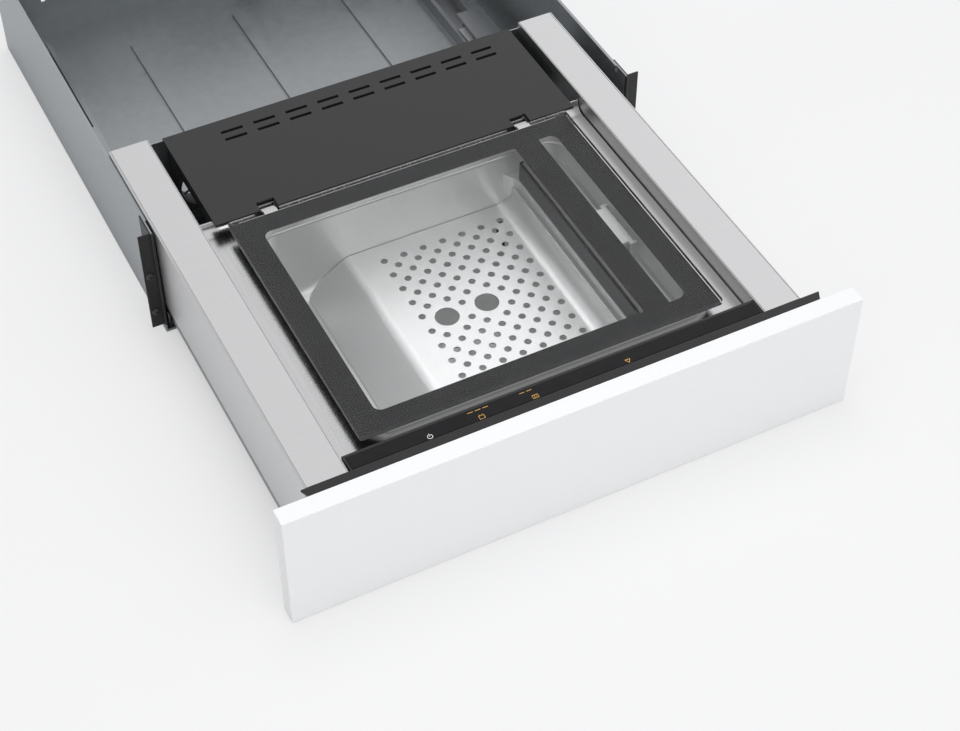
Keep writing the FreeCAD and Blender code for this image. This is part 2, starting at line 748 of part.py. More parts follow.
def clip_base():
    # Foot on the shelf with two ears that carry the bag clip's pin.
    foot_top = SHELF_Z + 3
    foot = rounded(CLIP_X0, CLIP_X1 - 1.5, CLIP_Y0, CLIP_Y1, SHELF_Z, foot_top, 2)
    ears = []
    for y in (CLIP_Y0, CLIP_Y1 - CLIP_EAR):
        ears.append(block(CLIP_X1 - 5, CLIP_X1 + 3, y, y + CLIP_EAR, foot_top, CLIP_PIN_Z + 3))
    pin = rod(CLIP_PIN_R, CLIP_Y1 - CLIP_Y0, (CLIP_PIN_X, CLIP_Y0, CLIP_PIN_Z), BACK)
    return joined([foot] + ears + [pin])


def bag_clip():
    # Sprung flap that holds the mouth of a bag down, on its pin between the ears.
    y0 = CLIP_Y0 + CLIP_EAR + 0.4
    y1 = CLIP_Y1 - CLIP_EAR - 0.4
    flap_low, flap_high = CLIP_PIN_Z + 1.0, CLIP_PIN_Z + 3.0
    barrel = rod(3.2, y1 - y0, (CLIP_PIN_X, y0, CLIP_PIN_Z), BACK)
    flap = block(CLIP_X0, CLIP_PIN_X, y0, y1, flap_low, flap_high)
    nose = block(CLIP_X0, CLIP_X0 + 2, y0, y1, flap_low - 5, flap_low)
    bore = rod(CLIP_PIN_R + 0.05, y1 - y0 + 2, (CLIP_PIN_X, y0 - 1, CLIP_PIN_Z), BACK)
    return joined([barrel, flap, nose]).cut(bore)


# Front

def adjuster_spots():
    return [(x, z) for x in ADJUSTER_XS for z in ADJUSTER_ZS]


def front_panel():
    # Panel with its front edges eased and blind holes for the adjusting screws.
    panel = block(-PANEL_WIDTH / 2, PANEL_WIDTH / 2, -PANEL_THICK, 0, 0, PANEL_HEIGHT)
    front = [e for e in panel.Edges if all(abs(v.Y + PANEL_THICK) < CLOSE for v in e.Vertexes)]
    panel = panel.makeChamfer(PANEL_EASE, front)
    depth = ADJUSTER_DEPTH
    holes = [rod(ADJUSTER_R, depth + 1, (x, -depth, z), BACK) for x, z in adjuster_spots()]
    return panel.cut(Part.makeCompound(holes))


def front_carrier():
    # Steel front of the drawer box, folded back at its sides, foot and under the bar.
    t = CARRIER_T
    fold_low = WALL_BOTTOM
    panel = block(WALL_LEFT, WALL_RIGHT, 0, t, FLOOR_Z, BAR_LOW)
    folds = [block(WALL_LEFT, WALL_LEFT + t, t, BAR_DEPTH, fold_low, BAR_LOW),
             block(WALL_RIGHT - t, WALL_RIGHT, t, BAR_DEPTH, fold_low, BAR_LOW),
             block(WALL_LEFT, WALL_RIGHT, t, BAR_DEPTH, BAR_LOW - t, BAR_LOW),
             block(WALL_LEFT_INNER, WALL_RIGHT_INNER, t, BAR_DEPTH, FLOOR_Z, FLOOR_Z + t)]
    holes = [rod(ADJUSTER_R, t + 2, (x, -1, z), BACK) for x, z in adjuster_spots()]
    return joined([panel] + folds).cut(Part.makeCompound(holes))


def panel_screws():
    # Hexagon-headed screws that hold and align the panel from inside the box.
    depth = ADJUSTER_DEPTH
    solids = []
    for x, z in adjuster_spots():
        shank = rod(ADJUSTER_R, depth + CARRIER_T, (x, -depth, z), BACK)
        head = prism(6, 5.0, 3.0, (x, CARRIER_T, z), BACK)
        solids.append(joined([shank, head]))
    return Part.makeCompound(solids)


def front_bar():
    # Black bar behind the panel's top edge, with eased long edges.
    bar = block(BAR_LEFT, BAR_RIGHT, 0, BAR_DEPTH, BAR_LOW, WALL_TOP)
    return bar.makeFillet(1.0, edges_along(bar, RIGHT, lambda c: c.z > WALL_TOP - 1 and c.y > 1))


def control_housing():
    # Moulded strip that holds the touch glass, with a bevel down to the deck at its rear.
    top = STRIP_TOP
    bevel = 2.5
    rim = 2.0
    ledge = 1.5
    points = [(BAR_DEPTH, DECK_TOP), (BAR_DEPTH, top - 0.4), (GLASS_FRONT, top), (GLASS_REAR + 0.6, top),
              (STRIP_REAR, top - bevel), (STRIP_REAR, DECK_TOP)]
    strip = profile_along_x(points, STRIP_LEFT, STRIP_RIGHT)
    pocket = block(STRIP_LEFT + rim, STRIP_RIGHT - rim, GLASS_FRONT, GLASS_REAR, top - GLASS_THICK, top + 1)
    well = block(STRIP_LEFT + 5, STRIP_RIGHT - 5, GLASS_FRONT + ledge, GLASS_REAR - ledge, DECK_TOP + 3, top)
    return strip.cut(pocket).cut(well)


def control_glass():
    low = STRIP_TOP - GLASS_THICK
    glass = block(STRIP_LEFT + 2, STRIP_RIGHT - 2, GLASS_FRONT, GLASS_REAR, low, STRIP_TOP)
    return glass.makeChamfer(0.4, edges_at_height(glass, STRIP_TOP))


def control_board():
    # Touch and display board under the glass, with two display modules.
    low = DECK_TOP + 5
    high = low + 1.6
    module = 32.0
    y0, y1 = GLASS_FRONT + 1.6, GLASS_REAR - 1.6
    board = block(STRIP_LEFT + 8, STRIP_RIGHT - 8, y0, y1, low, high)
    top = STRIP_TOP - GLASS_THICK - 0.2
    modules = [block(x, x + module, y0 + 1.4, y1 - 1.4, high, top) for x in (-104.0, -50.0)]
    return joined([board] + modules)


# Rear cover, hinge and lid

def rear_cover():
    # Cover of the machine space: top, two end walls, two hinge notches and a double row of air slots.
    t = COVER_T
    rear_y = DECK_REAR + DECK_SHEET
    end_y = REAR_FACE - 12
    notch_depth = 12.5
    slot_width, slot_depth, slot_pitch = 24.0, 4.0, 36.0
    top = block(COVER_LEFT, COVER_RIGHT, COVER_FRONT, REAR_FACE, COVER_UNDER, COVER_TOP)
    ends = [block(COVER_LEFT, COVER_LEFT + t, rear_y, end_y, DECK_TOP, COVER_UNDER),
            block(COVER_RIGHT - t, COVER_RIGHT, rear_y, end_y, DECK_TOP, COVER_UNDER)]
    cover = joined([top] + ends)
    front = edges_along(cover, RIGHT, lambda c: c.y < COVER_FRONT + 1 and c.z > COVER_UNDER + 1)
    cover = cover.makeFillet(1.0, front)
    z0, z1 = COVER_UNDER - 1, COVER_TOP + 1
    cuts = [block(x - NOTCH, x + NOTCH, COVER_FRONT - 1, COVER_FRONT + notch_depth, z0, z1) for x in HINGE_XS]
    for column in range(9):
        x = -150 + column * slot_pitch
        for y in (470.0, 482.0):
            cuts.append(block(x, x + slot_width, y, y + slot_depth, z0, z1))
    return cover.cut(Part.makeCompound(cuts))


def hinge_brackets():
    # U brackets under the deck; their ears carry the lid's pins.
    base_low, base_high = 108.0, 112.0
    inner = HINGE_ARM / 2 + EAR_GAP
    outer = inner + EAR_THICK
    ear_half = 4.4
    solids = []
    for x in HINGE_XS:
        base = block(x - outer, x + outer, HINGE_Y - 6, HINGE_Y + 10, base_low, base_high)
        ears = []
        for x0 in (x - outer, x + inner):
            ears.append(block(x0, x0 + EAR_THICK, HINGE_Y - ear_half, HINGE_Y + ear_half,
                              base_high, HINGE_Z + EYE_R))
        bore = rod(PIN_R, 2 * outer + 2, (x - outer - 1, HINGE_Y, HINGE_Z), RIGHT)
        solids.append(joined([base] + ears).cut(bore))
    return Part.makeCompound(solids)


def hinge_pins():
    half = HINGE_ARM / 2 + EAR_GAP + EAR_THICK
    return Part.makeCompound([rod(PIN_R, 2 * half, (x - half, HINGE_Y, HINGE_Z), RIGHT) for x in HINGE_XS])


def lid_glass():
    glass = rounded(LID_LEFT, LID_RIGHT, LID_FRONT, LID_REAR, LID_UNDER, LID_TOP, 3.0)
    return glass.makeChamfer(0.5, edges_at_height(glass, LID_TOP))


def lid_mask():
    # Opaque printed frame on the underside of the glass, with the big window and the narrow one.
    inset = 0.6
    frame = rounded(LID_LEFT + inset, LID_RIGHT - inset, LID_FRONT + inset, LID_REAR - inset,
                    MASK_UNDER, LID_UNDER, 2.6)
    main = window(*WINDOW_MAIN, WINDOW_ROUND, WINDOW_TIGHT)
    slot = window(*WINDOW_SLOT, 0.0, WINDOW_ROUND + 1)
    return frame.cut(main).cut(slot)


def window(x0, x1, y0, y1, left_r, right_r):
    dx, dy = WINDOW_SHIFT_X, WINDOW_SHIFT_Y
    solid = block(x0 + dx, x1 + dx, y0 + dy, y1 + dy, MASK_UNDER - 1, LID_UNDER + 1)
    middle = (x0 + x1) / 2 + dx
    if left_r:
        solid = solid.makeFillet(left_r, edges_along(solid, UP, lambda c: c.x < middle))
    return solid.makeFillet(right_r, edges_along(solid, UP, lambda c: c.x > middle))


def counter_bar():
    # Aluminium rail under the lid that carries the silicone strip over the sealing bar.
    outer, inner = 9.0, 5.0
    top = MASK_UNDER
    web = top - BAND_THICK
    low = top - 2.2
    right = [(outer, top), (outer, low), (inner, low), (inner, web)]
    left = [(-across, z) for across, z in reversed(right)]
    points = [(BAR_X + across, z) for across, z in right + left]
    return profile_along_y(points, BAR_FRONT_Y - 2, BAR_REAR_Y + 2)


def counter_strip():
    half = 4.9
    top = MASK_UNDER - BAND_THICK
    return block(BAR_X - half, BAR_X + half, BAR_FRONT_Y - 1, BAR_REAR_Y + 1, top - 3.2, top)


def lid_hinge_rail():
    # Rail bonded under the lid's rear edge, with two arms whose eyes turn on the pins.
    top = MASK_UNDER
    low = top - 3.0
    half = HINGE_ARM / 2
    front = 345.0
    end_gap = 12.0
    pieces = [block(LID_LEFT + end_gap, LID_RIGHT - end_gap, front - 1, LID_REAR, low, top)]
    for x in HINGE_XS:
        points = [(front, low), (HINGE_Y, HINGE_Z - 3.4), (HINGE_Y, HINGE_Z + 3.4), (LID_REAR, top - 0.6),
                  (front, top - 0.6)]
        pieces.append(profile_along_x(points, x - half, x + half))
        pieces.append(rod(EYE_R, HINGE_ARM, (x - half, HINGE_Y, HINGE_Z), RIGHT))
    bores = [rod(PIN_R + 0.05, HINGE_ARM + 4, (x - half - 2, HINGE_Y, HINGE_Z), RIGHT) for x in HINGE_XS]
    return joined(pieces).cut(Part.makeCompound(bores))


# Perforated insert

def small_holes():
    # Two staggered grids. Four holes give way to each of the two finger holes.
    spots = []
    for j in range(HOLE_ROWS):
        for i in range(HOLE_COLUMNS):
            spots.append((HOLE_X0 + HOLE_PITCH * i, HOLE_Y0 - HOLE_PITCH * j))
    for j in range(HOLE_ROWS - 1):
        for i in range(HOLE_COLUMNS - 1):
            spots.append((HOLE_X0 + HOLE_PITCH * (i + 0.5), HOLE_Y0 - HOLE_PITCH * (j + 0.5)))
    clear = FINGER_R + HOLE_R
    fingers = finger_spots()
    return [(x, y) for x, y in spots if all(math.hypot(x - fx, y - fy) > clear for fx, fy in fingers)]


def finger_spots():
    y = HOLE_Y0 - HOLE_PITCH * FINGER_ROW
    return [(HOLE_X0 + HOLE_PITCH * i, y) for i in FINGER_COLUMNS]


def insert_plate():
    # One bent sheet: a ramp up from the floor, a perforated flat, and a curl up the right wall.
    # The many small holes are eight-sided, which keeps the sheet light to handle.
    run = (INSERT_TOP - RAMP_FOOT_Z) / math.tan(math.radians(RAMP_ANGLE))
    corners = [(RAMP_CORNER_X - run, RAMP_FOOT_Z, 0), (RAMP_CORNER_X, INSERT_TOP, RAMP_BEND),
               (INSERT_RIGHT, INSERT_TOP, CURL_BEND), (INSERT_RIGHT, INSERT_CURL_TOP, 0)]
    sheet = bent_sheet(corners, INSERT_SHEET, INSERT_FRONT, INSERT_REAR)
    sheet = sheet.common(chamber_space(-INSERT_GAP))
    z0 = INSERT_TOP - INSERT_SHEET - 1
    depth = INSERT_SHEET + 2
    punches = [prism(8, HOLE_R, depth, (x, y, z0), UP) for x, y in small_holes()]
    punches += [rod(FINGER_R, depth, (x, y, z0)) for x, y in finger_spots()]
    return sheet.cut(Part.makeCompound(punches))


def insert_feet():
    # Short legs that carry the flat of the insert on the chamber floor.
    low = CHAMBER_FLOOR + 0.3
    height = INSERT_TOP - INSERT_SHEET - low
    return Part.makeCompound([rod(FOOT_R, height, (x, y, low)) for x in FOOT_XS for y in FOOT_YS])


# Machine space behind the chamber

def pump_body():
    # Twin-cylinder diaphragm pump: crankcase, two finned heads, a foot and a suction port.
    foot_inset = 4.0
    x0, x1 = PUMP_X - CASE_HALF, PUMP_X + CASE_HALF
    parts = [rounded(x0, x1, PUMP_Y - CASE_DEPTH, PUMP_Y + CASE_DEPTH, PUMP_LOW, PUMP_TOP, 6)]
    for side in (-1, 1):
        head = sorted((PUMP_Y + side * CASE_DEPTH, PUMP_Y + side * 50))
        parts.append(block(x0 + 6, x1 - 6, head[0], head[1], 44, 90))
        fin = sorted((PUMP_Y + side * CASE_DEPTH, PUMP_Y + side * 54))
        for i in range(4):
            z = 46 + i * 12
            parts.append(block(x0 + 2, x1 - 2, fin[0], fin[1], z, z + 3))
    foot_low = FLOOR_TOP + MOUNT_H
    parts.append(block(x0 + foot_inset, x1 - foot_inset, PUMP_Y - 40, PUMP_Y + 40, foot_low, PUMP_LOW))
    parts.append(rod(5, 12, (PUMP_X, PUMP_Y, PUMP_TOP)))
    return joined(parts)


def pump_motor():
    # Motor can with a stepped end bell and a foot.
    x0 = PUMP_X + CASE_HALF
    can = rod(MOTOR_R, MOTOR_LENGTH, (x0, PUMP_Y, MOTOR_Z), RIGHT)
    bell = rod(MOTOR_R - 7, 10, (x0 + MOTOR_LENGTH, PUMP_Y, MOTOR_Z), RIGHT)
    foot = block(x0 + 22, x0 + 72, PUMP_Y - 26, PUMP_Y + 26, FLOOR_TOP + MOUNT_H, 42)
    return joined([can, bell, foot])


def pump_mounts():
    # Four rubber mounts under the pump and its motor.
    spots = [(x, PUMP_Y + dy) for x in (PUMP_X, -15.0) for dy in (-18, 18)]
    return Part.makeCompound([rod(MOUNT_R, MOUNT_H, (x, y, FLOOR_TOP)) for x, y in spots])


def suction_fitting():
    # Fitting on the chamber's rear wall, with a flange and a hose tail.
    y0 = CHAMBER_REAR + CHAMBER_SHEET + 0.4
    flange = rod(SUCTION_R + 2, 3, (SUCTION_X, y0, SUCTION_Z), BACK)
    body = rod(SUCTION_R, 10, (SUCTION_X, y0 + 3, SUCTION_Z), BACK)
    return joined([flange, body]).cut(rod(4, 20, (SUCTION_X, y0 - 1, SUCTION_Z), BACK))


def suction_filter():
    # Small round screen with three slits that covers the suction hole inside the chamber.
    radius, thick = 8.8, 3.0
    y0 = CHAMBER_REAR - 0.9 - thick
    cap = rod(radius, thick, (SUCTION_X, y0, SUCTION_Z), BACK)
    slits = []
    for dz in (-4, 0, 4):
        z = SUCTION_Z + dz
        slits.append(block(SUCTION_X - 5, SUCTION_X + 5, y0 - 1, y0 + thick + 1, z - 0.8, z + 0.8))
    return cap.cut(Part.makeCompound(slits))


def solenoid_valve():
    # Vent and seal valve: a block with two coils on top, an inlet and an outlet.
    x = SUCTION_X
    base = block(x - 24, x + 24, 376, 398, 102, 118)
    coils = [block(x + dx - 9, x + dx + 9, 378, 396, 118, 133) for dx in (-12, 12)]
    inlet = rod(5, 6, (x, VALVE_FRONT, SUCTION_Z), BACK)
    outlet = rod(5, 10, (x - 34, VALVE_Y, SUCTION_Z), RIGHT)
    return joined([base, inlet, outlet] + coils)


def vacuum_hose():
    # Short hose from the chamber fitting to the valve, and a long one from the valve to the pump.
    y0 = CHAMBER_REAR + CHAMBER_SHEET + 13.4
    short = rod(SUCTION_R, VALVE_FRONT - y0, (SUCTION_X, y0, SUCTION_Z), BACK)
    route = [(SUCTION_X - 34, VALVE_Y, SUCTION_Z), (PUMP_X, VALVE_Y, SUCTION_Z), (PUMP_X, PUMP_Y, SUCTION_Z),
             (PUMP_X, PUMP_Y, PUMP_TOP + 12)]
    return Part.makeCompound([short, hose_along(route, HOSE_R, HOSE_BEND)])


def transformer():
    # Laminated transformer for the heating band, with its winding either side of the core.
    core = block(118, 186, 384, 432, FLOOR_TOP, 66)
    winding = rounded(130, 174, 374, 442, 24, 56, 8)
    tabs = [block(x, x + 8, 396, 420, FLOOR_TOP, FLOOR_TOP + 3) for x in (110, 186)]
    return joined([core, winding] + tabs)


def power_board():
    # Upright board on the rear plate with relays, a heat sink, capacitors and square spacers.
    board_y = REAR_FACE - 6
    face_y = board_y - 1.6
    board = block(62, 196, face_y, board_y, 44, 124)
    relays = [block(x, x + 20, face_y - 16, face_y, 50, 66) for x in (70, 96)]
    sink = block(170, 188, face_y - 22, face_y, 56, 96)
    capacitors = [rod(9, 24, (x, face_y - 24, 98), BACK) for x in (80, 104, 140)]
    spacers = [block(x - 3, x + 3, board_y, REAR_FACE, z - 3, z + 3) for x in (66, 192) for z in (48, 120)]
    return joined([board, sink] + relays + capacitors + spacers)


def fan_frame():
    # Square frame round a bore, with a hub plate on four spokes.
    y0 = REAR_FACE - FAN_DEPTH
    plate_y = REAR_FACE - 3
    spoke_half, reach = 1.5, FAN_HALF - 1
    frame = block(FAN_X - FAN_HALF, FAN_X + FAN_HALF, y0, REAR_FACE, FAN_Z - FAN_HALF, FAN_Z + FAN_HALF)
    frame = frame.cut(rod(FAN_R, 40, (FAN_X, y0 - 5, FAN_Z), BACK))
    hub = rod(11, 3, (FAN_X, plate_y, FAN_Z), BACK)
    spokes = [block(FAN_X - reach, FAN_X + reach, plate_y, REAR_FACE, FAN_Z - spoke_half, FAN_Z + spoke_half),
              block(FAN_X - spoke_half, FAN_X + spoke_half, plate_y, REAR_FACE, FAN_Z - reach, FAN_Z + reach)]
    stub = rod(1.5, 10, (FAN_X, plate_y - 10, FAN_Z), BACK)
    return joined([frame, hub, stub] + spokes)


def fan_rotor():
    # Hub with pitched blades, turning on the frame's stub.
    hub_r, hub_length = 10.0, 12.0
    blade_length, blade_thick, pitch = 16.5, 1.4, 38.0
    y0 = REAR_FACE - FAN_DEPTH + 2
    pieces = [rod(hub_r, hub_length, (FAN_X, y0, FAN_Z), BACK)]
    for i in range(FAN_BLADES):
        corner = V(hub_r - 0.5, -blade_thick / 2, -hub_length / 2)
        blade = Part.makeBox(blade_length, blade_thick, hub_length, corner)
        blade.rotate(ORIGIN, RIGHT, pitch)
        blade.rotate(ORIGIN, UP, 360 / FAN_BLADES * i)
        blade.rotate(ORIGIN, RIGHT, 90)
        blade.translate(V(FAN_X, y0 + hub_length / 2, FAN_Z))
        pieces.append(blade)
    return joined(pieces).cut(rod(1.55, 20, (FAN_X, y0 + 3, FAN_Z), BACK))


# Export, one file for each node

def main():
    os.makedirs("parts", exist_ok=True)
    housing_pieces = (housing_base, housing_back, mains_inlet, rear_buffers, push_latch_body, latch_plunger)
    for piece in housing_pieces:
        save(piece.__name__, piece())
    handed_pieces = (housing_side, front_flange, runner_fixed, runner_middle, runner_glides, runner_inner)
    for side in ("left", "right"):
        for piece in handed_pieces:
            save(piece.__name__ + "_" + side, piece(side))
        save("side_wall_" + side, from_drawer(side_wall(side)))
    drawer_pieces = (
        drawer_floor, drawer_back, deck, chamber, lid_seal, seal_bar_carrier, sealing_bar, heating_strip,
        bar_pistons, bar_cylinders, clip_base, bag_clip, front_panel, front_carrier, panel_screws, front_bar,
        control_housing, control_glass, control_board, rear_cover, hinge_brackets, hinge_pins, lid_glass,
        lid_mask, counter_bar, counter_strip, lid_hinge_rail, insert_plate, insert_feet, pump_body, pump_motor,
        pump_mounts, suction_fitting, suction_filter, solenoid_valve, vacuum_hose, transformer, power_board,
        fan_frame, fan_rotor)
    for piece in drawer_pieces:
        save(piece.__name__, from_drawer(piece()))


main()
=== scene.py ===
import bmesh
import bpy
import math
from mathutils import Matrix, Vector


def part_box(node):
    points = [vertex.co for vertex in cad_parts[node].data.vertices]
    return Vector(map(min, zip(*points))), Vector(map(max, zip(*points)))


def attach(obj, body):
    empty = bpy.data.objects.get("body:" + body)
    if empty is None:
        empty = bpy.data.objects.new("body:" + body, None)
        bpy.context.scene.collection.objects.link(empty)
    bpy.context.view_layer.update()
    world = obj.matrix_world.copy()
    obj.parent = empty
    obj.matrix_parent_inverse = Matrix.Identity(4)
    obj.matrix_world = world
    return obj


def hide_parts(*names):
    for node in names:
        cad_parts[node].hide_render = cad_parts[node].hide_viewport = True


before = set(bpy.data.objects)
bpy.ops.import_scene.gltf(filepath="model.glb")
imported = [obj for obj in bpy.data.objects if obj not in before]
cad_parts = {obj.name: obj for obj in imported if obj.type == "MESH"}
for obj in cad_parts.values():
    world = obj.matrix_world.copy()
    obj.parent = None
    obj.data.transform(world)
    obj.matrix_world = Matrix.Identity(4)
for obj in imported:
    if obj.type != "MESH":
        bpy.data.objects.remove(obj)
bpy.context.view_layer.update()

# Everything below is written in millimetres in the drawer's own frame.
# Its Y = 0 is the back face of the front panel, and its Z = 0 is the niche floor.
MM = 0.001
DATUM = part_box("front_panel")[1][1] / MM


def span(node):
    """A CAD node's box in the drawer's frame, in millimetres: x0, x1, y0, y1, z0, z1."""
    low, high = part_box(node)
    x0, y0, z0 = (v / MM for v in low)
    x1, y1, z1 = (v / MM for v in high)
    return x0, x1, y0 - DATUM, y1 - DATUM, z0, z1


def spot(x, y, z):
    """A point of the drawer's frame as a place in the scene."""
    return Vector((x, y + DATUM, z)) * MM


# Modelling helpers

def only(obj):
    bpy.ops.object.select_all(action="DESELECT")
    obj.select_set(True)
    bpy.context.view_layer.objects.active = obj


def settle(obj):
    """Puts the object's place into its mesh."""
    only(obj)
    bpy.ops.object.transform_apply(location=True, rotation=True, scale=True)
    return obj


def named(obj, name):
    obj.name = name
    obj.data.name = name
    return obj


def block(name, x0, x1, y0, y1, z0, z1):
    centre = spot((x0 + x1) / 2, (y0 + y1) / 2, (z0 + z1) / 2)
    bpy.ops.object.select_all(action="DESELECT")
    bpy.ops.mesh.primitive_cube_add(size=1.0, location=centre)
    obj = named(bpy.context.object, name)
    obj.scale = Vector((x1 - x0, y1 - y0, z1 - z0)) * MM
    return settle(obj)


def drum(name, radius, length, base, axis="Z", sides=32):
    """A cylinder from base along Y or Z."""
    turn = {"Y": (-math.pi / 2, 0, 0), "Z": (0, 0, 0)}[axis]
    way = {"Y": Vector((0, 1, 0)), "Z": Vector((0, 0, 1))}[axis]
    centre = spot(*(Vector(base) + way * (length / 2)))
    bpy.ops.object.select_all(action="DESELECT")
    bpy.ops.mesh.primitive_cylinder_add(vertices=sides, radius=radius * MM, depth=length * MM,
                                        location=centre, rotation=turn)
    return settle(named(bpy.context.object, name))


def plane(name, x0, x1, y0, y1, z):
    bpy.ops.object.select_all(action="DESELECT")
    bpy.ops.mesh.primitive_plane_add(size=1.0, location=spot((x0 + x1) / 2, (y0 + y1) / 2, z))
    obj = named(bpy.context.object, name)
    obj.scale = ((x1 - x0) * MM, (y1 - y0) * MM, 1.0)
    return settle(obj)


def pick(obj, test):
    """In edit mode, selects the edges that pass the test, which is in the drawer's frame."""
    only(obj)
    bpy.ops.object.mode_set(mode="EDIT")
    bpy.context.tool_settings.mesh_select_mode = (False, True, False)
    bpy.ops.mesh.select_all(action="DESELECT")
    mesh = bmesh.from_edit_mesh(obj.data)
    for edge in mesh.edges:
        a, b = (v.co / MM for v in edge.verts)
        middle = (a + b) / 2
        middle.y -= DATUM
        if test(middle, b - a):
            edge.select_set(True)
    bmesh.update_edit_mesh(obj.data)


def leave_edit():
    bpy.ops.object.mode_set(mode="OBJECT")


def pull(obj, test, x, y, z):
    """Draws a new face out of the edges that pass the test."""
    pick(obj, test)
    bpy.ops.mesh.extrude_region_move(TRANSFORM_OT_translate={"value": (x * MM, y * MM, z * MM)})
    leave_edit()


def soften(obj, width, segments, test):
    """Rounds the edges that pass the test."""
    pick(obj, test)
    bpy.ops.mesh.bevel(offset_type="OFFSET", offset=width * MM, segments=segments,
                       affect="EDGES", clamp_overlap=True)
    leave_edit()
    return obj


def soften_all(obj, width, segments, angle=40):
    """Eases every sharp edge with an applied bevel."""
    only(obj)
    ease = obj.modifiers.new("ease", "BEVEL")
    ease.width = width * MM
    ease.segments = segments
    ease.limit_method = "ANGLE"
    ease.angle_limit = math.radians(angle)
    bpy.ops.object.modifier_apply(modifier=ease.name)


def thicken(obj, sheet, even=False):
    """Gives a face the thickness of its sheet, under it."""
    only(obj)
    thick = obj.modifiers.new("thick", "SOLIDIFY")
    thick.thickness = sheet * MM
    thick.offset = -1.0
    thick.use_even_offset = even
    bpy.ops.object.modifier_apply(modifier=thick.name)


def combine(obj, other, operation):
    """Cuts or joins the other mesh with obj and removes it."""
    only(obj)
    step = obj.modifiers.new("combine", "BOOLEAN")
    step.operation = operation
    step.solver = "EXACT"
    step.object = other
    bpy.ops.object.modifier_apply(modifier=step.name)
    bpy.data.objects.remove(other)
    return obj


def cut(obj, other):
    return combine(obj, other, "DIFFERENCE")


def joined(name, objs):
    bpy.ops.object.select_all(action="DESELECT")
    for obj in objs:
        obj.select_set(True)
    bpy.context.view_layer.objects.active = objs[0]
    bpy.ops.object.join()
    return named(bpy.context.object, name)


def smooth(obj, angle=35):
    """Smooth shading up to an angle, with the flat faces kept flat."""
    only(obj)
    bpy.ops.object.shade_smooth_by_angle(angle=math.radians(angle))
    even = obj.modifiers.new("even", "WEIGHTED_NORMAL")
    even.keep_sharp = True
    even.weight = 100
    bpy.ops.object.modifier_apply(modifier=even.name)
    return obj


# Edge tests. They take an edge's middle and its run.

LONG_EDGE = 100.0


def upright(middle, along):
    return abs(along.z) > 0.99 * along.length


def runs_across(along):
    return abs(along.x) > LONG_EDGE


def runs_back(along):
    return abs(along.y) > LONG_EDGE


def at_height(z):
    return lambda middle, along: abs(middle.z - z) < 0.01


def fit(obj, body, material, *nodes, slot=None):
    """Hangs a finished piece on its body, with its material, in place of its CAD nodes."""
    obj.data.materials.clear()
    obj.data.materials.append(material)
    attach(obj, body)
    if nodes:
        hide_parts(*nodes)


# Materials

RELIEF_DEPTH = 0.0002
GLASS_IOR = 1.12

# How much a pattern is squeezed along X, Y and Z
LENGTHWISE = (60.0, 1.0, 60.0)
CROSSWISE = (1.0, 60.0, 60.0)
EVEN = (1.0, 1.0, 1.0)


def blank(name):
    material = bpy.data.materials.new(name)
    material.use_nodes = True
    nodes = material.node_tree.nodes
    shader = nodes["Principled BSDF"]
    coords = nodes.new("ShaderNodeTexCoord")
    return material, nodes, material.node_tree.links, shader, coords


def pattern(nodes, links, coords, scale, size, detail):
    """A noise on Object coordinates, stretched by scale."""
    mapping = nodes.new("ShaderNodeMapping")
    mapping.inputs["Scale"].default_value = scale
    links.new(coords.outputs["Object"], mapping.inputs["Vector"])
    noise = nodes.new("ShaderNodeTexNoise")
    noise.inputs["Scale"].default_value = size
    noise.inputs["Detail"].default_value = detail
    links.new(mapping.outputs["Vector"], noise.inputs["Vector"])
    return noise.outputs["Fac"]


def ramp(nodes, links, source, low, high):
    """Turns a noise into a value or colour between low and high."""
    node = nodes.new("ShaderNodeValToRGB")
    first, last = node.color_ramp.elements
    first.position, last.position = 0.3, 0.7
    first.color, last.color = (*low, 1.0), (*high, 1.0)
    links.new(source, node.inputs["Fac"])
    return node.outputs["Color"]


def grey(value):
    return (value, value, value)


def relief(nodes, links, shader, source, strength):
    bump = nodes.new("ShaderNodeBump")
    bump.inputs["Strength"].default_value = strength
    bump.inputs["Distance"].default_value = RELIEF_DEPTH
    links.new(source, bump.inputs["Height"])
    links.new(bump.outputs["Normal"], shader.inputs["Normal"])


def metal(name, dark, light, rough_low, rough_high, grain, grain_size, bump, lift=0.0):
    """Brushed or satin metal. The grain stretches the pattern along the brushing.

    The lift is a faint even glow, in place of light that many reflections would bring.
    """
    material, nodes, links, shader, coords = blank(name)
    shader.inputs["Metallic"].default_value = 1.0
    lines = pattern(nodes, links, coords, grain, grain_size, 6.0)
    links.new(ramp(nodes, links, lines, dark, light), shader.inputs["Base Color"])
    rough = ramp(nodes, links, lines, grey(rough_low), grey(rough_high))
    links.new(rough, shader.inputs["Roughness"])
    relief(nodes, links, shader, lines, bump)
    shader.inputs["Emission Color"].default_value = (0.98, 0.99, 1.0, 1.0)
    shader.inputs["Emission Strength"].default_value = lift
    return material


def paint(name, dark, light, roughness, size, bump, shine=0.5):
    """Paint, lacquer or moulded plastic with a fine, even texture."""
    material, nodes, links, shader, coords = blank(name)
    grain = pattern(nodes, links, coords, EVEN, size, 3.0)
    links.new(ramp(nodes, links, grain, dark, light), shader.inputs["Base Color"])
    shader.inputs["Roughness"].default_value = roughness
    shader.inputs["Specular IOR Level"].default_value = shine
    relief(nodes, links, shader, grain, bump)
    return material


def clear_glass(name, dark, light):
    material, nodes, links, shader, coords = blank(name)
    dust = pattern(nodes, links, coords, EVEN, 30.0, 4.0)
    links.new(ramp(nodes, links, dust, dark, light), shader.inputs["Base Color"])
    shader.inputs["Roughness"].default_value = 0.0
    shader.inputs["IOR"].default_value = GLASS_IOR
    shader.inputs["Transmission Weight"].default_value = 1.0
    return material


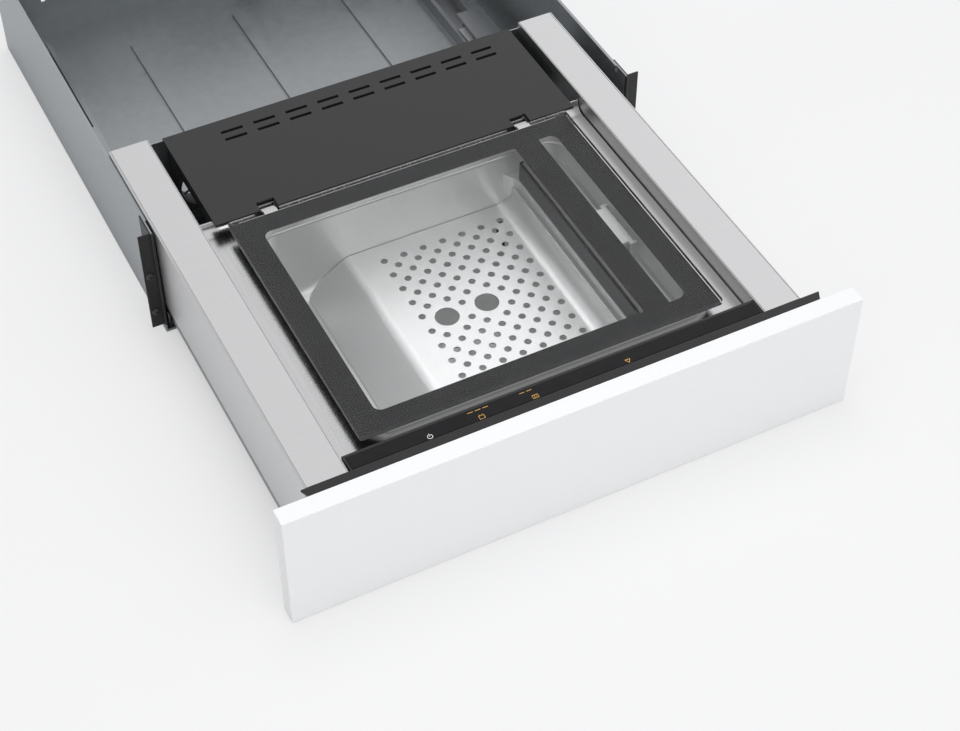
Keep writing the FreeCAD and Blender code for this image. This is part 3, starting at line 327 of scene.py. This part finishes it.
def lamp_paint(name, colour, strength):
    """Printed sign lit from behind."""
    material, nodes, links, shader, coords = blank(name)
    grain = pattern(nodes, links, coords, EVEN, 900.0, 2.0)
    dim = tuple(0.8 * c for c in colour)
    shade = ramp(nodes, links, grain, dim, colour)
    links.new(shade, shader.inputs["Base Color"])
    links.new(shade, shader.inputs["Emission Color"])
    shader.inputs["Emission Strength"].default_value = strength
    shader.inputs["Roughness"].default_value = 0.4
    return material


# Name, darker and lighter colour, two roughnesses, grain, grain size and bump
WALL_STEEL = metal("wall steel", grey(0.66), grey(0.70), 0.36, 0.42, CROSSWISE, 26.0, 0.04)
DECK_STEEL = metal("deck steel", grey(0.58), grey(0.64), 0.22, 0.28, LENGTHWISE, 16.0, 0.04)
TUB_STEEL = metal("tub steel", grey(0.38), grey(0.42), 0.34, 0.40, EVEN, 420.0, 0.05, lift=0.10)
INSERT_STEEL = metal("insert steel", grey(0.82), grey(0.87), 0.38, 0.45, EVEN, 500.0, 0.04)
GALVANISED = metal("galvanised sheet", (0.38, 0.40, 0.41), (0.43, 0.45, 0.46), 0.42, 0.50,
                   EVEN, 90.0, 0.03)
ZINC = metal("zinc plate", (0.30, 0.31, 0.32), (0.40, 0.41, 0.42), 0.30, 0.38,
             LENGTHWISE, 12.0, 0.04)
MILLED = metal("milled aluminium", grey(0.60), grey(0.68), 0.28, 0.36, CROSSWISE, 14.0, 0.04)
CAST = metal("cast alloy", grey(0.38), grey(0.46), 0.48, 0.6, EVEN, 240.0, 0.2)

# Name, darker and lighter colour, roughness, texture size and bump
WHITE_LACQUER = paint("white lacquer", grey(0.86), grey(0.885), 0.34, 700.0, 0.01)
BLACK_BAR = paint("black bar", (0.012, 0.012, 0.013), (0.018, 0.018, 0.019),
                  0.40, 900.0, 0.04, shine=0.4)
TOUCH_GLASS = paint("touch glass", (0.004, 0.004, 0.005), (0.007, 0.007, 0.008),
                    0.12, 90.0, 0.0, shine=0.22)
COVER_BLACK = paint("cover black", (0.016, 0.016, 0.017), (0.024, 0.024, 0.025),
                    0.38, 800.0, 0.05, shine=0.4)
FLANGE_BLACK = paint("flange black", (0.010, 0.010, 0.011), (0.018, 0.018, 0.019),
                     0.45, 1200.0, 0.12, shine=0.4)
PRINT_BLACK = paint("lid print", (0.040, 0.040, 0.041), (0.043, 0.043, 0.044),
                    0.5, 300.0, 0.0, shine=0.05)
SILICONE = paint("silicone", (0.030, 0.030, 0.031), (0.045, 0.045, 0.046), 0.62, 500.0, 0.06)
RUBBER = paint("rubber", grey(0.018), grey(0.030), 0.75, 600.0, 0.12)
DARK_PLASTIC = paint("dark plastic", (0.07, 0.07, 0.073), (0.10, 0.10, 0.103), 0.5, 900.0, 0.1)
PALE_PLASTIC = paint("pale plastic", grey(0.60), grey(0.66), 0.45, 900.0, 0.06)
BOARD_GREEN = paint("circuit board", (0.015, 0.07, 0.035), (0.03, 0.12, 0.06), 0.4, 260.0, 0.06)
MOTOR_BLACK = paint("motor enamel", (0.02, 0.02, 0.022), (0.035, 0.035, 0.038), 0.4, 300.0, 0.08)
WINDING = paint("varnished winding", (0.16, 0.07, 0.03), (0.26, 0.12, 0.05), 0.38, 420.0, 0.2)
BAND = paint("heating band cover", (0.30, 0.22, 0.14), (0.42, 0.32, 0.21), 0.55, 1400.0, 0.15)

LID_GLASS = clear_glass("lid glass", (0.965, 0.975, 0.972), (0.985, 0.99, 0.988))
AMBER = lamp_paint("amber sign", (0.62, 0.35, 0.08), 0.40)
WHITE_SIGN = lamp_paint("white sign", grey(0.80), 0.5)


# Front panel, bar and control strip

def make_front_panel():
    panel = block("front_panel_lacquered", *span("front_panel"))
    soften_all(panel, 1.1, 3)
    fit(smooth(panel), "drawer", WHITE_LACQUER, "front_panel", slot="white_panel")


def make_front_bar():
    """A bar whose ends slant, so that its rear edge is the longer one."""
    x0, x1, y0, y1, z0, z1 = span("front_bar")
    bar = block("front_bar_black", x0, x1, y0 + 0.05, y1, z0, z1)
    slant = 4.5
    for end, inward in ((x0, slant), (x1, -slant)):
        pick(bar, lambda c, d: upright(c, d) and abs(c.x - end) < 1 and c.y < (y0 + y1) / 2)
        bpy.ops.transform.translate(value=(inward * MM, 0, 0))
        leave_edit()
    soften_all(bar, 0.5, 3)
    fit(smooth(bar), "drawer", BLACK_BAR, "front_bar", slot="black_trim")


def make_control_strip():
    """A moulded strip with its rear edge cut off at a slant, and the touch glass in its pocket."""
    x0, x1, y0, y1, z0, z1 = span("control_housing")
    gx0, gx1, gy0, gy1, gz0, gz1 = span("control_glass")
    strip = block("control_strip_frame", x0, x1, y0, y1, z0, z1 - 0.2)
    soften(strip, 2.4, 1, lambda c, d: c.z > z1 - 1 and c.y > y1 - 1 and runs_across(d))
    gap = 0.15
    cut(strip, block("pocket", gx0 - gap, gx1 + gap, gy0 - gap, gy1 + gap, gz0, z1 + 1))
    soften_all(strip, 0.25, 2)
    fit(smooth(strip), "drawer", COVER_BLACK, "control_housing", slot="black_trim")
    glass = block("control_strip_glass", gx0, gx1, gy0, gy1, gz0 + 0.02, gz1)
    soften_all(glass, 0.5, 3)
    fit(smooth(glass), "drawer", TOUCH_GLASS, "control_glass", slot="black_glass")


SIGN_RISE = 0.12
SIGN_LINE = 0.4
POWER_AT = (-140.3, 15.0)
PACK_AT = (-88.8, 14.7)
SEAL_AT = (-34.5, 14.9)
START_AT = (61.9, 15.4)
# Left end, right end and number of dashes
DASH_ROWS = ((-100.0, -77.0, 3), (-47.5, -33.0, 2))
DASH_Y = 24.0
DASH_DEPTH = 0.55
DASH_GAP = 2.2


def sign_block(x, y, wide, deep, z):
    return block("dash", x - wide / 2, x + wide / 2, y - deep / 2, y + deep / 2, z, z + SIGN_RISE)


def sign_frame(x, y, wide, deep, z):
    half_x, half_y = wide / 2 - SIGN_LINE, deep / 2 - SIGN_LINE
    hole = block("hole", x - half_x, x + half_x, y - half_y, y + half_y, z - 1, z + 1)
    return cut(sign_block(x, y, wide, deep, z), hole)


def make_power_sign(z):
    """An open ring with a stroke in its gap."""
    x, y = POWER_AT
    ring = drum("power_ring", 2.6, SIGN_RISE, (x, y, z), sides=40)
    cut(ring, drum("inside", 2.15, 3, (x, y, z - 1), sides=40))
    cut(ring, block("gap", x - 1.0, x + 1.0, y, y + 5, z - 1, z + 1))
    stroke = sign_block(x, y + 1.9, 0.45, 3.2, z)
    fit(joined("power_sign", [ring, stroke]), "drawer", WHITE_SIGN, slot="black_glass")


def pack_sign(z):
    """A pack seen from the front, with its mouth at the top."""
    x, y = PACK_AT
    ears = [sign_block(x + dx, y + 2.8, SIGN_LINE, 1.4, z) for dx in (-1.6, 1.6)]
    return [sign_frame(x, y, 5.6, 4.4, z)] + ears


def seal_sign(z):
    """A pack with three dots for the seal's strength."""
    x, y = SEAL_AT
    dots = [sign_block(x + 1.0, y + dy, 0.6, 0.6, z) for dy in (-1.2, 0, 1.2)]
    return [sign_frame(x, y, 6.0, 4.4, z), sign_block(x - 0.9, y, SIGN_LINE, 3.6, z)] + dots


def start_sign(z):
    """An open triangle that points to the front."""
    x, y = START_AT
    pointer = drum("pointer", 3.3, SIGN_RISE, (x, y, z), sides=3)
    cut(pointer, drum("inside", 2.2, 3, (x, y, z - 1), sides=3))
    only(pointer)
    bpy.ops.object.mode_set(mode="EDIT")
    bpy.ops.mesh.select_all(action="SELECT")
    bpy.ops.transform.rotate(value=math.pi, orient_axis="Z", center_override=spot(x, y, z))
    leave_edit()
    return pointer


def make_signs():
    """Plain signs on the touch glass: power, two rows of dashes over two packs, and a pointer."""
    z = span("control_glass")[5]
    make_power_sign(z)
    amber = []
    for left, right, count in DASH_ROWS:
        pitch = (right - left) / count
        for i in range(count):
            x = left + pitch * (i + 0.5)
            amber.append(sign_block(x, DASH_Y, pitch - DASH_GAP, DASH_DEPTH, z))
    amber += pack_sign(z) + seal_sign(z) + [start_sign(z)]
    fit(joined("amber_signs", amber), "drawer", AMBER, slot="black_glass")


# Drawer box

def make_side_wall(side):
    """A folded wall with a groove along each of its top folds."""
    x0, x1, y0, y1, z0, z1 = span("side_wall_" + side)
    wall = block("side_wall_" + side + "_brushed", x0, x1, y0, y1, z0, z1)
    outer_x, inner_x, inward = (x0, x1, 1) if side == "left" else (x1, x0, -1)
    for width, segments, x in ((1.6, 5, outer_x), (0.5, 3, inner_x)):
        soften(wall, width, segments,
               lambda c, d: runs_back(d) and c.z > z1 - 0.5 and abs(c.x - x) < 1)
    for x in (outer_x + inward * 2.2, inner_x - inward * 1.1):
        cut(wall, block("fold_line", x - 0.3, x + 0.3, y0 - 1, y1 + 1, z1 - 1.2, z1 + 1))
    soften(wall, 0.8, 2, lambda c, d: runs_back(d) and c.z < z0 + 0.5)
    fit(smooth(wall, 50), "drawer", WALL_STEEL, "side_wall_" + side, slot="brushed_steel")


HINGE_XS = (-150.0, 133.0)
HINGE_FRONT = 355.0
HINGE_TOP = 131.5
DECK_GAP = 1.3
DECK_SHEET = 1.2
DECK_ROLL = 10.0
RIM_COVER = 8.0


def make_deck():
    """A sheet with a rolled-up rear edge, a mouth under the chamber's rim and two hinge pockets."""
    x0, x1, y0, y1, z0, z1 = span("deck")
    top = z0 + DECK_SHEET
    wall_y = y1 - DECK_SHEET
    deck = plane("deck_sheet", x0 + DECK_GAP, x1 - DECK_GAP, y0, wall_y, top)
    pull(deck, lambda c, d: c.y > wall_y - 1, 0, 0, z1 - top)
    soften(deck, DECK_ROLL, 12,
           lambda c, d: abs(c.y - wall_y) < 1 and abs(c.z - top) < 1 and runs_across(d))
    thicken(deck, DECK_SHEET)
    rx0, rx1, ry0, ry1, _, _ = span("chamber")
    mouth = block("mouth", rx0 + RIM_COVER, rx1 - RIM_COVER, ry0 + RIM_COVER, ry1 - RIM_COVER,
                  top - 6, top + 6)
    soften(mouth, 20.0, 8, upright)
    cut(deck, mouth)
    for x in HINGE_XS:
        cut(deck, block("pocket", x - 13, x + 13, HINGE_FRONT, wall_y + 3, top - 3, HINGE_TOP))
    fit(smooth(deck), "drawer", DECK_STEEL, "deck", slot="deck_steel")


COVER_SHEET = 3.0
SKIRT_FRONT = 368.0
SLOT_FIRST = -150.0
SLOT_PITCH = 36.0
SLOT_COUNT = 9
SLOT_LENGTH = 24.0
SLOT_WIDTH = 4.0
SLOT_YS = (470.0, 482.0)


def make_rear_cover():
    """A moulded cover with a skirt at each end, notches for the hinges and two rows of slots."""
    x0, x1, y0, y1, z0, z1 = span("rear_cover")
    under = z1 - COVER_SHEET
    cover = block("rear_cover_moulded", x0, x1, y0, y1, under, z1)
    for x in (x0, x1 - COVER_SHEET):
        skirt = block("skirt", x, x + COVER_SHEET, SKIRT_FRONT, y1 - 12, z0, under + 1)
        combine(cover, skirt, "UNION")
    for x in HINGE_XS:
        cut(cover, block("notch", x - 9.5, x + 9.5, y0 - 1, y0 + 12.5, under - 1, z1 + 1))
    slots = []
    for i in range(SLOT_COUNT):
        x = SLOT_FIRST + i * SLOT_PITCH
        for y in SLOT_YS:
            slots.append(block("slot", x, x + SLOT_LENGTH, y, y + SLOT_WIDTH, under - 1, z1 + 1))
    cut(cover, joined("slots", slots))
    soften_all(cover, 0.7, 3)
    fit(smooth(cover), "drawer", COVER_BLACK, "rear_cover", slot="black_trim")


# Chamber: a hollow form is built twice, once as its outside and once as its inside

WELL = {"left": -171.6, "step": 110.0, "right": 162.6, "front": 56.6, "rear": 333.4}
WELL_FLOOR = 27.0
WELL_FOOT = 17.4
SHELF = 96.0
SHELF_FOOT = 7.0
RIM_TOP = 129.5
LEDGE = 120.5
LEDGE_WIDTH = 1.9
LEDGE_FOOT = 2.6
CORNER = 18.0
TUB_SHEET = 1.2
BAR_X = 121.0
PISTON_YS = (110.0, 280.0)


def sunk_block(name, x0, x1, y0, y1, z0, z1, corner, foot):
    """An upright block with rounded corners and a rounded foot."""
    form = block(name, x0, x1, y0, y1, z0, z1)
    soften(form, corner, 12, upright)
    return soften(form, foot, 10, at_height(z0))


def chamber_space(grow, with_ledge=True):
    """The well, the shelf beside it and the slightly wider mouth, each grown by one amount.

    The ungrown space opens the rim. The others end just under the rim's top.
    """
    top = RIM_TOP + 10 if grow == 0 else RIM_TOP - 0.4
    y0, y1 = WELL["front"] - grow, WELL["rear"] + grow
    left, right = WELL["left"] - grow, WELL["right"] + grow
    corner = CORNER + grow
    space = sunk_block("main_well", left, WELL["step"] + grow, y0, y1, WELL_FLOOR - grow, top,
                       corner, WELL_FOOT + grow)
    shelf = sunk_block("shelf_well", WELL["step"] - 50, right, y0, y1, SHELF - grow, top,
                       corner, SHELF_FOOT + grow)
    combine(space, shelf, "UNION")
    if with_ledge:
        wide = LEDGE_WIDTH
        mouth = sunk_block("mouth_well", left - wide, right + wide, y0 - wide, y1 + wide,
                           LEDGE - grow, top, corner + wide, LEDGE_FOOT)
        combine(space, mouth, "UNION")
    return space


def on_mouth(middle, along):
    reach = LEDGE_WIDTH + 1
    inside_x = WELL["left"] - reach < middle.x < WELL["right"] + reach
    inside_y = WELL["front"] - reach < middle.y < WELL["rear"] + reach
    return inside_x and inside_y and abs(middle.z - RIM_TOP) < 0.01


def make_chamber():
    x0, x1, y0, y1, _, _ = span("chamber")
    deck_top = span("deck")[4] + DECK_SHEET
    rim = block("chamber_drawn", x0, x1, y0, y1, deck_top, RIM_TOP)
    soften(rim, 26, 14, upright)
    soften(rim, 2.0, 4, at_height(RIM_TOP))
    combine(rim, chamber_space(TUB_SHEET), "UNION")
    cut(rim, chamber_space(0.0))
    soften(rim, 0.8, 3, on_mouth)
    for y in PISTON_YS:
        cut(rim, drum("guide", 3.1, 14, (BAR_X, y, SHELF - 8)))
    fit(smooth(rim, 32), "drawer", TUB_STEEL, "chamber", slot="chamber_steel")


SIEVE_HOLE = 0.6
SIEVE_PITCH = 2.4


def make_suction_screen():
    """A round sieve, nearly flush with the chamber's rear wall."""
    x0, x1, _, _, z0, z1 = span("suction_filter")
    x, z = (x0 + x1) / 2, (z0 + z1) / 2
    stand = 0.3
    face = WELL["rear"] - stand
    sieve = drum("suction_sieve", (z1 - z0) / 2, 0.7, (x, face, z), "Y", sides=40)
    soften(sieve, 0.2, 2, lambda c, d: c.y < face + 0.01)
    holes = [drum("hole", SIEVE_HOLE, 4, (x + SIEVE_PITCH * i, face - 1, z + SIEVE_PITCH * j),
                  "Y", sides=10)
             for i in range(-2, 3) for j in range(-2, 3) if i * i + j * j < 6]
    cut(sieve, joined("holes", holes))
    fit(smooth(sieve), "drawer", TUB_STEEL, "suction_filter", slot="chamber_steel")


SEAL_WIDTH = 7.0


def make_seal():
    x0, x1, y0, y1, z0, z1 = span("lid_seal")
    ring = block("lid_seal_ring", x0, x1, y0, y1, z0, z1)
    soften(ring, 24, 12, upright)
    soften(ring, 2.4, 4, at_height(z1))
    hole = block("hole", x0 + SEAL_WIDTH, x1 - SEAL_WIDTH, y0 + SEAL_WIDTH, y1 - SEAL_WIDTH,
                 z0 - 1, z1 + 1)
    soften(hole, 24 - SEAL_WIDTH, 12, upright)
    cut(ring, hole)
    fit(smooth(ring), "drawer", SILICONE, "lid_seal", slot="silicone")


# Perforated insert

HOLE_PITCH = 22.15
HOLE_FIRST = (-49.8, 309.8)
HOLE_RADIUS = 3.8
FINGER_RADIUS = 12.5
FINGER_CLEARANCE = 16.2
INSERT_TOP = 59.4
INSERT_SHEET = 1.5
INSERT_GAP = 0.45
RAMP_X = -82.0
RAMP_FOOT = 28.8
RAMP_ANGLE = math.radians(33)
RAMP_BEND = 21.0
CURL_X = 105.5
CURL_BEND = 17.0


def hole_spots():
    """Two rows that alternate, seven holes and six, without those near the two finger holes."""
    x0, y0 = HOLE_FIRST

    def at(i, j):
        return x0 + HOLE_PITCH * i, y0 - HOLE_PITCH * j

    fingers = [at(i, 4.5) for i in (1, 3)]
    spots = [at(i, j) for j in range(11) for i in range(7)]
    spots += [at(i + 0.5, j + 0.5) for j in range(10) for i in range(6)]
    small = [s for s in spots if all(math.dist(s, f) > FINGER_CLEARANCE for f in fingers)]
    return small, fingers


def make_insert():
    """A flat sheet with a ramp down at its left and a curl up at its right, then perforated."""
    _, _, y0, y1, _, z1 = span("insert_plate")
    top = INSERT_TOP
    drop = top - RAMP_FOOT
    plate = plane("insert_bent_sheet", RAMP_X, CURL_X, y0 - 0.4, y1 + 0.7, top)
    pull(plate, lambda c, d: c.x < RAMP_X + 1, -drop / math.tan(RAMP_ANGLE), 0, -drop)
    pull(plate, lambda c, d: c.x > CURL_X - 1 and runs_back(d), 0, 0, z1 - top)
    soften(plate, RAMP_BEND * math.tan(RAMP_ANGLE / 2), 12,
           lambda c, d: abs(c.x - RAMP_X) < 1 and runs_back(d))
    soften(plate, CURL_BEND, 14,
           lambda c, d: abs(c.x - CURL_X) < 1 and abs(c.z - top) < 1 and runs_back(d))
    thicken(plate, INSERT_SHEET, even=True)
    combine(plate, chamber_space(-INSERT_GAP, with_ledge=False), "INTERSECT")
    small, fingers = hole_spots()
    punches = [drum("punch", HOLE_RADIUS, 12, (x, y, top - 6), sides=20) for x, y in small]
    punches += [drum("punch", FINGER_RADIUS, 12, (x, y, top - 6), sides=48) for x, y in fingers]
    cut(plate, joined("punches", punches))
    fit(smooth(plate), "insert", INSERT_STEEL, "insert_plate", slot="insert_steel")


# Lid

PRINT_GAP = 0.2
MAIN_WINDOW = (-169.6, 108.6, 65.3, 326.8)
SLIM_WINDOW = (136.0, 155.0, 65.0, 327.6)


def make_lid():
    """A clear pane over a printed frame with two windows. The slim one is round at its right."""
    pane = block("lid_pane", *span("lid_glass"))
    soften(pane, 3.0, 6, upright)
    soften_all(pane, 0.5, 1, 60)
    fit(smooth(pane, 20), "lid", LID_GLASS, "lid_glass", slot="lid_glass")
    x0, x1, y0, y1, z0, z1 = span("lid_mask")
    mask = block("lid_printed_frame", x0, x1, y0, y1, z0, z1 - PRINT_GAP)
    soften(mask, 2.6, 6, upright)
    main = block("main_window", *MAIN_WINDOW, z0 - 1, z1 + 1)
    soften(main, 8.0, 8, lambda c, d: upright(c, d) and c.x < 0)
    soften(main, 3.0, 6, lambda c, d: upright(c, d) and c.x > 100)
    cut(mask, main)
    slim = block("slim_window", *SLIM_WINDOW, z0 - 1, z1 + 1)
    soften(slim, 9.0, 8, lambda c, d: upright(c, d) and c.x > 145)
    cut(mask, slim)
    fit(mask, "lid", PRINT_BLACK, "lid_mask", slot="lid_print")


# Mounting screws of the front flanges

FLANGE_DEPTH = 30.0
SCREW_X = 275.5
SCREW_ZS = (33.5, 83.1)
SCREW_RADIUS = 4.4


def screw_head(x, y, z):
    """A low round head in front of y, with a cross recess."""
    bpy.ops.object.select_all(action="DESELECT")
    bpy.ops.mesh.primitive_uv_sphere_add(segments=24, ring_count=16, radius=SCREW_RADIUS * MM,
                                         location=spot(x, y, z))
    head = bpy.context.object
    head.scale = (1, 0.62, 1)
    settle(head)
    cut(head, block("half", x - 6, x + 6, y, y + 6, z - 6, z + 6))
    for half_x, half_z in ((1.8, 0.4), (0.4, 1.8)):
        cut(head, block("recess", x - half_x, x + half_x, y - 4, y - 1.2, z - half_z, z + half_z))
    return head


def make_flange_screws():
    face = span("front_flange_left")[3] - FLANGE_DEPTH
    for side, x in (("left", -SCREW_X), ("right", SCREW_X)):
        screws = joined("flange_screws_" + side, [screw_head(x, face, z) for z in SCREW_ZS])
        fit(smooth(screws), "housing", MOTOR_BLACK, slot="black_steel")


# CAD nodes that keep their shape and take a finish

FINISHES = {
    GALVANISED: ("housing_base", "housing_side_left", "housing_side_right", "housing_back",
                 "drawer_floor", "drawer_back", "front_carrier"),
    FLANGE_BLACK: ("front_flange_left", "front_flange_right"),
    ZINC: ("runner_fixed_left", "runner_fixed_right", "runner_middle_left",
           "runner_middle_right", "runner_inner_left", "runner_inner_right", "panel_screws",
           "hinge_pins", "bar_pistons"),
    PALE_PLASTIC: ("runner_glides_left", "runner_glides_right", "clip_base", "bag_clip",
                   "latch_plunger", "suction_fitting"),
    DARK_PLASTIC: ("push_latch_body", "mains_inlet", "seal_bar_carrier", "fan_frame",
                   "fan_rotor"),
    MILLED: ("sealing_bar", "counter_bar", "bar_cylinders", "lid_hinge_rail"),
    SILICONE: ("counter_strip",),
    BAND: ("heating_strip",),
    BOARD_GREEN: ("control_board", "power_board"),
    RUBBER: ("rear_buffers", "insert_feet", "pump_mounts", "vacuum_hose"),
    CAST: ("pump_body", "solenoid_valve"),
    MOTOR_BLACK: ("pump_motor", "hinge_brackets"),
    WINDING: ("transformer",),
}


def finish_cad_nodes():
    for material, names in FINISHES.items():
        for name in names:
            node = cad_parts[name]
            node.data.materials.clear()
            node.data.materials.append(material)


# Floor, light and camera

def background(nodes, colour, strength):
    node = nodes.new("ShaderNodeBackground")
    node.inputs["Color"].default_value = (*colour, 1.0)
    node.inputs["Strength"].default_value = strength
    return node


def mixed(nodes, links, factor, first, second):
    """The first shader, or the second one where the factor is one."""
    mix = nodes.new("ShaderNodeMixShader")
    links.new(factor, mix.inputs["Fac"])
    links.new(first.outputs[0], mix.inputs[1])
    links.new(second.outputs[0], mix.inputs[2])
    return mix


def side_glow(nodes, links):
    """Strength of the studio walls in reflections: brighter at the object's right."""
    coords = nodes.new("ShaderNodeTexCoord")
    parts = nodes.new("ShaderNodeSeparateXYZ")
    links.new(coords.outputs["Generated"], parts.inputs["Vector"])
    glow = nodes.new("ShaderNodeMapRange")
    glow.inputs["From Min"].default_value = -0.4
    glow.inputs["From Max"].default_value = 0.5
    glow.inputs["To Min"].default_value = 0.66
    glow.inputs["To Max"].default_value = 1.08
    links.new(parts.outputs["X"], glow.inputs["Value"])
    return glow.outputs["Result"]


def either(nodes, links, first, second):
    """One where either ray test says one."""
    node = nodes.new("ShaderNodeMath")
    node.operation = "MAXIMUM"
    links.new(first, node.inputs[0])
    links.new(second, node.inputs[1])
    return node.outputs[0]


def pale_world():
    """Pale to the eye, in reflections and through glass, and a little softer as a light."""
    world = bpy.data.worlds.new("studio")
    bpy.context.scene.world = world
    world.use_nodes = True
    nodes, links = world.node_tree.nodes, world.node_tree.links
    nodes.clear()
    rays = nodes.new("ShaderNodeLightPath").outputs
    shown = background(nodes, (0.96, 0.96, 0.965), 1.0)
    mirrored = background(nodes, (0.985, 0.985, 1.0), 1.0)
    links.new(side_glow(nodes, links), mirrored.inputs["Strength"])
    soft = background(nodes, (0.97, 0.98, 1.0), 0.72)
    reflected = either(nodes, links, rays["Is Glossy Ray"], rays["Is Transmission Ray"])
    unseen = mixed(nodes, links, reflected, soft, mirrored)
    mix = mixed(nodes, links, rays["Is Camera Ray"], unseen, shown)
    out = nodes.new("ShaderNodeOutputWorld")
    links.new(mix.outputs[0], out.inputs["Surface"])


def soft_lamp(name, place, aim, size, power):
    """A rectangular lamp that leaves no mirror image of itself."""
    data = bpy.data.lights.new(name, "AREA")
    data.shape = "RECTANGLE"
    data.size, data.size_y = size
    data.energy = power
    lamp = bpy.data.objects.new(name, data)
    bpy.context.scene.collection.objects.link(lamp)
    lamp.visible_glossy = False
    lamp.location = place
    lamp.rotation_euler = (Vector(aim) - Vector(place)).to_track_quat("-Z", "Y").to_euler()


FLOOR_LIFT = 0.5
FLOOR_REACH = 6000.0


def floor_paint():
    """Pale floor, lifted towards white for the camera alone, so that it keeps the shadow."""
    material = paint("floor paint", grey(0.80), grey(0.82), 0.6, 3.0, 0.0)
    nodes, links = material.node_tree.nodes, material.node_tree.links
    glow = nodes.new("ShaderNodeEmission")
    glow.inputs["Color"].default_value = (0.97, 0.97, 0.975, 1.0)
    path = nodes.new("ShaderNodeLightPath")
    part = nodes.new("ShaderNodeMath")
    part.operation = "MULTIPLY"
    part.inputs[1].default_value = FLOOR_LIFT
    links.new(path.outputs["Is Camera Ray"], part.inputs[0])
    mix = mixed(nodes, links, part.outputs[0], nodes["Principled BSDF"], glow)
    links.new(mix.outputs[0], nodes["Material Output"].inputs["Surface"])
    return material


def make_floor():
    floor = plane("floor", -FLOOR_REACH, FLOOR_REACH, -FLOOR_REACH, FLOOR_REACH, -0.6)
    floor.data.materials.append(floor_paint())


def make_camera():
    """A view from above the drawer's left front corner, looking down along it."""
    data = bpy.data.cameras.new("camera")
    camera = bpy.data.objects.new("camera", data)
    bpy.context.scene.collection.objects.link(camera)
    bpy.context.scene.camera = camera
    data.sensor_width = 36.0
    data.lens = 74.55
    data.clip_start = 0.05
    data.clip_end = 50.0
    camera.location = spot(-624.742, -1030.659, 1472.425)
    camera.rotation_euler = (math.radians(42.867), 0.0, math.radians(-27.054))


def light_scene():
    bpy.context.scene.view_settings.view_transform = "Standard"
    pale_world()
    soft_lamp("top softbox", place=(-0.1, -0.3, 2.5), aim=(0.0, -0.35, 0.1),
              size=(2.4, 1.2), power=24)
    soft_lamp("front softbox", place=(0.4, -3.2, 1.5), aim=(0.0, -0.4, 0.1),
              size=(2.0, 1.4), power=14)


make_front_panel()
make_front_bar()
make_control_strip()
make_signs()
make_side_wall("left")
make_side_wall("right")
make_deck()
make_rear_cover()
make_chamber()
make_suction_screen()
make_seal()
make_insert()
make_lid()
make_flange_screws()
finish_cad_nodes()
make_floor()
make_camera()
light_scene()
